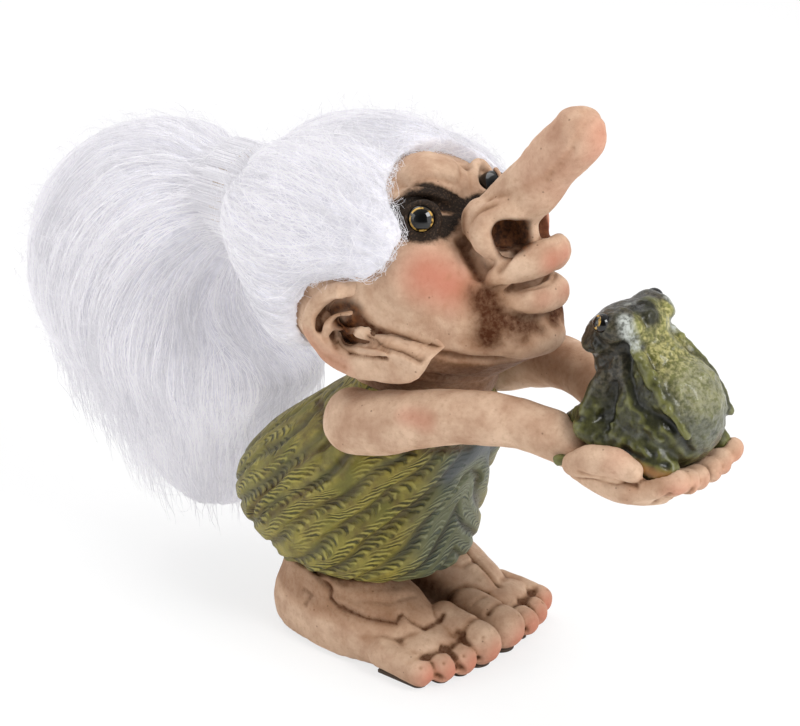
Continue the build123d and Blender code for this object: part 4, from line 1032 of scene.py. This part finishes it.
def strands(name, paths, width, shade, rng):
    """One mesh of closed three-sided hairs, as wide as given (mm) and thinner at both ends."""
    count = len(paths)
    along = np.gradient(paths, axis=1)
    along /= np.linalg.norm(along, axis=2, keepdims=True) + 1e-9
    side = np.cross(along, rng.normal(size=(count, 1, 3)))
    side /= np.linalg.norm(side, axis=2, keepdims=True) + 1e-9
    up = np.cross(along, side)
    taper = np.array([0.35, 0.8, 1.0, 1.0, 0.95, 0.75, 0.2])[None, :, None] * (width / 2)
    rings = [paths + taper * (side * math.cos(t) + up * math.sin(t)) for t in (
        0.0, 2 * math.pi / 3, 4 * math.pi / 3)]
    corners = np.stack(rings, 2).reshape(-1, 3)
    base = (np.arange(count) * strand_points * 3)[:, None, None, None]
    step = (np.arange(strand_points - 1) * 3)[None, :, None, None]
    a = np.arange(3)[None, None, :, None]
    b = (a + 1) % 3
    quads = np.concatenate([
        base + step + a, base + step + b, base + step + 3 + b, base + step + 3 + a], 3).reshape(-1, 4)
    start = np.arange(count)[:, None] * strand_points * 3
    ends = np.concatenate([start + [2, 1, 0], start + (strand_points - 1) * 3 + [0, 1, 2]])
    mesh = bpy.data.meshes.new(name)
    mesh.from_pydata((corners * mm).tolist(), [], quads.tolist() + ends.tolist())
    made = bpy.data.objects.new(name, mesh)
    bpy.context.scene.collection.objects.link(made)
    values = np.repeat(shade, strand_points * 3)
    keep_layer(made, "shade", values)
    return made


# Wool: bleached sheep's wool. Part of the light passes through each fibre, and what thousands of
# fibres pass on to each other is added as a faint even glow.
wool_glow = 0.25
wool, tree = finish_named("bleached_sheep_wool")
tone = blend_of(tree, value_of(tree, "shade"), srgb("#D1D0D4"), srgb("#EDECEE"))
matt = add(tree, "ShaderNodeBsdfDiffuse", [("Color", tone)])
through = add(tree, "ShaderNodeBsdfTranslucent", [("Color", tone)])
hair = add(tree, "ShaderNodeMixShader", [(0, 0.50), (1, matt.outputs[0]), (2, through.outputs[0])])
passed_on = add(tree, "ShaderNodeEmission", [("Color", tone), ("Strength", wool_glow)])
close_shader(tree, add(tree, "ShaderNodeAddShader", [(0, hair.outputs[0]), (1, passed_on.outputs[0])]))
core_wool, tree = finish_named("packed_sheep_wool")
place = add(tree, "ShaderNodeTexCoord").outputs["Object"]
tone = blend_of(
    tree, remap(tree, cloud(tree, place, 3.0, 5.0, 0.7), 0.35, 0.65), srgb("#CECDD4"), srgb("#E2E1E7"))
close_shader(tree, add(tree, "ShaderNodeBsdfPrincipled", [
    ("Base Color", tone), ("Roughness", 0.9), ("Emission Color", tone),
    ("Emission Strength", wool_glow * 0.9)]))

cap = clay_from("hair_cap", "hair_cap_core")
model_up(cap, 1.0, 10)
tail = clay_from("hair_tail", "hair_tail_core")
model_up(tail, 1.1, 10)
rng = np.random.default_rng(5)


def locks(spots, centre):
    """How far each place lies in a lock of hair (1) or between two (0), running away from a centre."""
    away = spots - np.array(centre)
    away /= np.linalg.norm(away, axis=1, keepdims=True) + 1e-9
    fine = np.array([noise.noise(Vector(a) * 9.0) for a in away])
    coarse = np.array([noise.noise(Vector(a) * 3.2 + Vector((4.0, 1.0, 7.0))) for a in away])
    return np.clip(0.5 + fine * 0.75 + coarse * 0.6, 0, 1)


for piece in (cap, tail):
    spots = spots_of(piece)
    lock = locks(spots, tie_spot)
    move_to(piece, spots + outward(piece) * (lock * 0.9 - 1.0)[:, None])
cap_skin, tail_skin = skin_tree(cap), skin_tree(tail)


def lay(name, piece, tree, flow, count, length, width, lift, curl, cling=1.0, chosen=None):
    starts = scatter(piece, count, rng, chosen)
    lock = locks(starts, tie_spot)
    lengths = length * (0.6 + 0.8 * rng.random(count))
    lifts = lift * (0.2 + rng.random(count) * 0.9) * (0.45 + lock * 0.8)
    paths = combed(tree, starts, flow, lengths, lifts, curl, rng, cling)
    shade = np.clip(0.40 + 0.50 * lock + rng.normal(size=count) * 0.20, 0, 1)
    made = strands(name, paths, width, shade, rng)
    coat(made, wool, "hair")
    return made


def over_front(middles):
    return (middles[:, 1] < 4.0).astype(float)


def upper(middles):
    return (middles[:, 2] > 92.0).astype(float)


def lower(middles):
    return ((middles[:, 2] < 56.0) & (middles[:, 2] > 26.0)).astype(float)


def outer_back(middles):
    return ((middles[:, 1] > 62.0) | (middles[:, 2] > 96.0)).astype(float)


def ahead(spot):
    return Vector((0.0, -0.3, -0.1)) - to_tie(spot) * 0.5


def fall(spot):
    return Vector((0.0, -0.05, -1.0))


def up_and_back(spot):
    return (spot - Vector((0.0, 30.0, 80.0))).normalized() * 0.8 + Vector((0.0, 0.4, 0.2))


coat(cap, core_wool, "hair", "hair_cap")
coat(tail, core_wool, "hair", "hair_tail")
for index in range(3):
    lay(f"hair_cap_strands_{index}", cap, cap_skin, to_tie, 3200, 20.0, 0.17, 1.1, 0.20)
    lay(f"hair_tail_strands_{index}", tail, tail_skin, down_tail, 3400, 26.0, 0.17, 1.2, 0.14)
lay("hair_cap_wisps", cap, cap_skin, up_and_back, 1500, 13.0, 0.07, 0.6, 0.7, 0.25, upper)
lay("hair_tail_wisps", tail, tail_skin, up_and_back, 2200, 14.0, 0.07, 0.6, 0.7, 0.25, outer_back)
lay("hair_tail_ends", tail, tail_skin, fall, 1500, 16.0, 0.15, 0.8, 0.16, 0.12, lower)
lay("hair_temple_frizz", cap, cap_skin, ahead, 1500, 9.0, 0.10, 0.9, 0.8, 0.55, over_front)

thread_y = 48.0
bridge_count = 1300


def over_thread(count):
    """Hair that bridges the thread from the cap to the tail, so it hardly shows."""
    stations = np.array([-9.5, -6.5, -3.5, 0.0, 3.5, 6.5, 10.5])
    paths = np.zeros((count, strand_points, 3))
    for row in range(count):
        turn = rng.random() * 2 * math.pi
        outward_way = Vector((math.cos(turn), 0.0, math.sin(turn)))
        rise = 0.3 + 0.7 * rng.random()
        for index, station in enumerate(stations + rng.normal() * 0.8):
            skin_there = cap_skin if station < 0 else tail_skin
            axis = Vector((0.0, thread_y + station, tie_spot.z))
            hit = skin_there.ray_cast(axis + outward_way * 45, -outward_way)[0]
            reach = min((hit - axis).dot(outward_way), 15.0) if hit else 0.0
            clear = 11.9 if abs(station) < 4.5 else 9.0
            paths[row, index] = axis + outward_way * (max(reach, clear) + rise)
    return paths


bridge_paths = over_thread(bridge_count)
bridge_shade = np.clip(0.6 + rng.normal(size=bridge_count) * 0.2, 0, 1)
bridge = strands("hair_over_thread", bridge_paths, 0.20, bridge_shade, rng)
coat(bridge, wool, "hair")


# Thread. A few turns of tan cotton hold the gather of hair. The hair that bridges it hides nearly all
# of it, as in the photograph, where only a warm spot shows.
cotton, tree = finish_named("tan_cotton_thread")
place = add(tree, "ShaderNodeTexCoord").outputs["Object"]
ply = add(
    tree, "ShaderNodeTexWave", [("Vector", place), ("Scale", 1 / (1.6 * mm)), ("Distortion", 1.5)],
    bands_direction="Y")
tone = blend_of(tree, ply.outputs["Fac"], srgb("#C9B49A"), srgb("#E6D8C6"))
close_shader(tree, add(tree, "ShaderNodeBsdfPrincipled", [("Base Color", tone), ("Roughness", 0.8)]))
thread = nodes["hair_tie"]
thread.data.materials.clear()
thread.data.materials.append(cotton)


# Studio floor and air. A plain white table; the camera sees floor and air as white, and the floor
# still takes the figure's soft shadow.
floor_white, tree = finish_named("white_floor")
path = add(tree, "ShaderNodeLightPath")
lit = add(tree, "ShaderNodeBsdfDiffuse", [("Color", srgb("#FAFAFA"))])
glow = add(tree, "ShaderNodeEmission", [("Color", srgb("#FFFFFF")), ("Strength", 1.0)])
seen = add(tree, "ShaderNodeMath", [(0, path.outputs["Is Camera Ray"]), (1, 0.72)], operation="MULTIPLY")
close_shader(tree, add(tree, "ShaderNodeMixShader", [
    (0, seen.outputs[0]), (1, lit.outputs[0]), (2, glow.outputs[0])]))
bpy.ops.object.select_all(action="DESELECT")
bpy.ops.mesh.primitive_plane_add(size=8, location=(0, 0, -0.0002))
floor = bpy.context.object
floor.name = "floor"
floor.data.materials.append(floor_white)


# Camera place. The studio air is dimmer on the camera's side, as behind any camera, so glass and
# varnish look dark there.
view_turn, view_rise, view_distance = math.radians(-50), math.radians(24), 620.0
pixel = 0.23
target = Vector((0, 0, 66.7)) * mm
back = Vector(
    (math.sin(view_turn) * math.cos(view_rise), -math.cos(view_turn) * math.cos(view_rise),
        math.sin(view_rise)))
right = Vector((math.cos(view_turn), math.sin(view_turn), 0))
up = back.cross(right)

world = bpy.data.worlds.new("studio_air")
bpy.context.scene.world = world
world.use_nodes = True
tree = world.node_tree
tree.nodes.clear()
path = add(tree, "ShaderNodeLightPath")
toward = add(tree, "ShaderNodeTexCoord").outputs["Generated"]
facing = add(
    tree, "ShaderNodeVectorMath", [(0, toward), (1, back)], operation="DOT_PRODUCT").outputs["Value"]
air = add(tree, "ShaderNodeBackground", [("Color", srgb("#FFFFFF")), ("Strength", remap(
    tree, facing, 0.30, 0.95, 0.72, 0.14))])
backdrop = add(tree, "ShaderNodeBackground", [("Color", srgb("#FFFFFF")), ("Strength", 1.0)])
mixed = add(tree, "ShaderNodeMixShader", [
    (0, path.outputs["Is Camera Ray"]), (1, air.outputs[0]), (2, backdrop.outputs[0])])
add(tree, "ShaderNodeOutputWorld", [("Surface", mixed.outputs[0])])


# Lamps. A soft box stands high on the camera's right and a wider one low beside it. A third hangs over
# the figure, a little behind it, and a fourth lights the hair from the left, as in a product tent.
def soft_box(name, direction, distance, size, power):
    light = bpy.data.lights.new(name, "AREA")
    light.shape, light.size, light.energy = "SQUARE", size * mm, power
    made = bpy.data.objects.new(name, light)
    bpy.context.scene.collection.objects.link(made)
    made.location = target + direction.normalized() * distance * mm
    made.rotation_euler = direction.to_track_quat("Z", "Y").to_euler()


soft_box("key_light", right * 0.55 + up * 0.42 + back * 0.72, 800, 320, 4.2)
soft_box("fill_light", right * 0.75 + up * -0.10 + back * 0.65, 900, 600, 1.9)
soft_box("top_light", right * -0.35 + up * 0.95 + back * -0.15, 800, 600, 2.7)
soft_box("side_light", right * -0.90 + up * 0.20 + back * 0.35, 900, 600, 2.6)

film_width = 36
picture_width = 800
camera_data = bpy.data.cameras.new("camera")
camera_data.sensor_width = film_width
camera_data.lens = film_width * view_distance / (picture_width * pixel)
camera = bpy.data.objects.new("camera", camera_data)
bpy.context.scene.collection.objects.link(camera)
camera.location = target + back * view_distance * mm
camera.rotation_euler = back.to_track_quat("Z", "Y").to_euler()
bpy.context.scene.camera = camera
bpy.context.scene.view_settings.view_transform = "Standard"
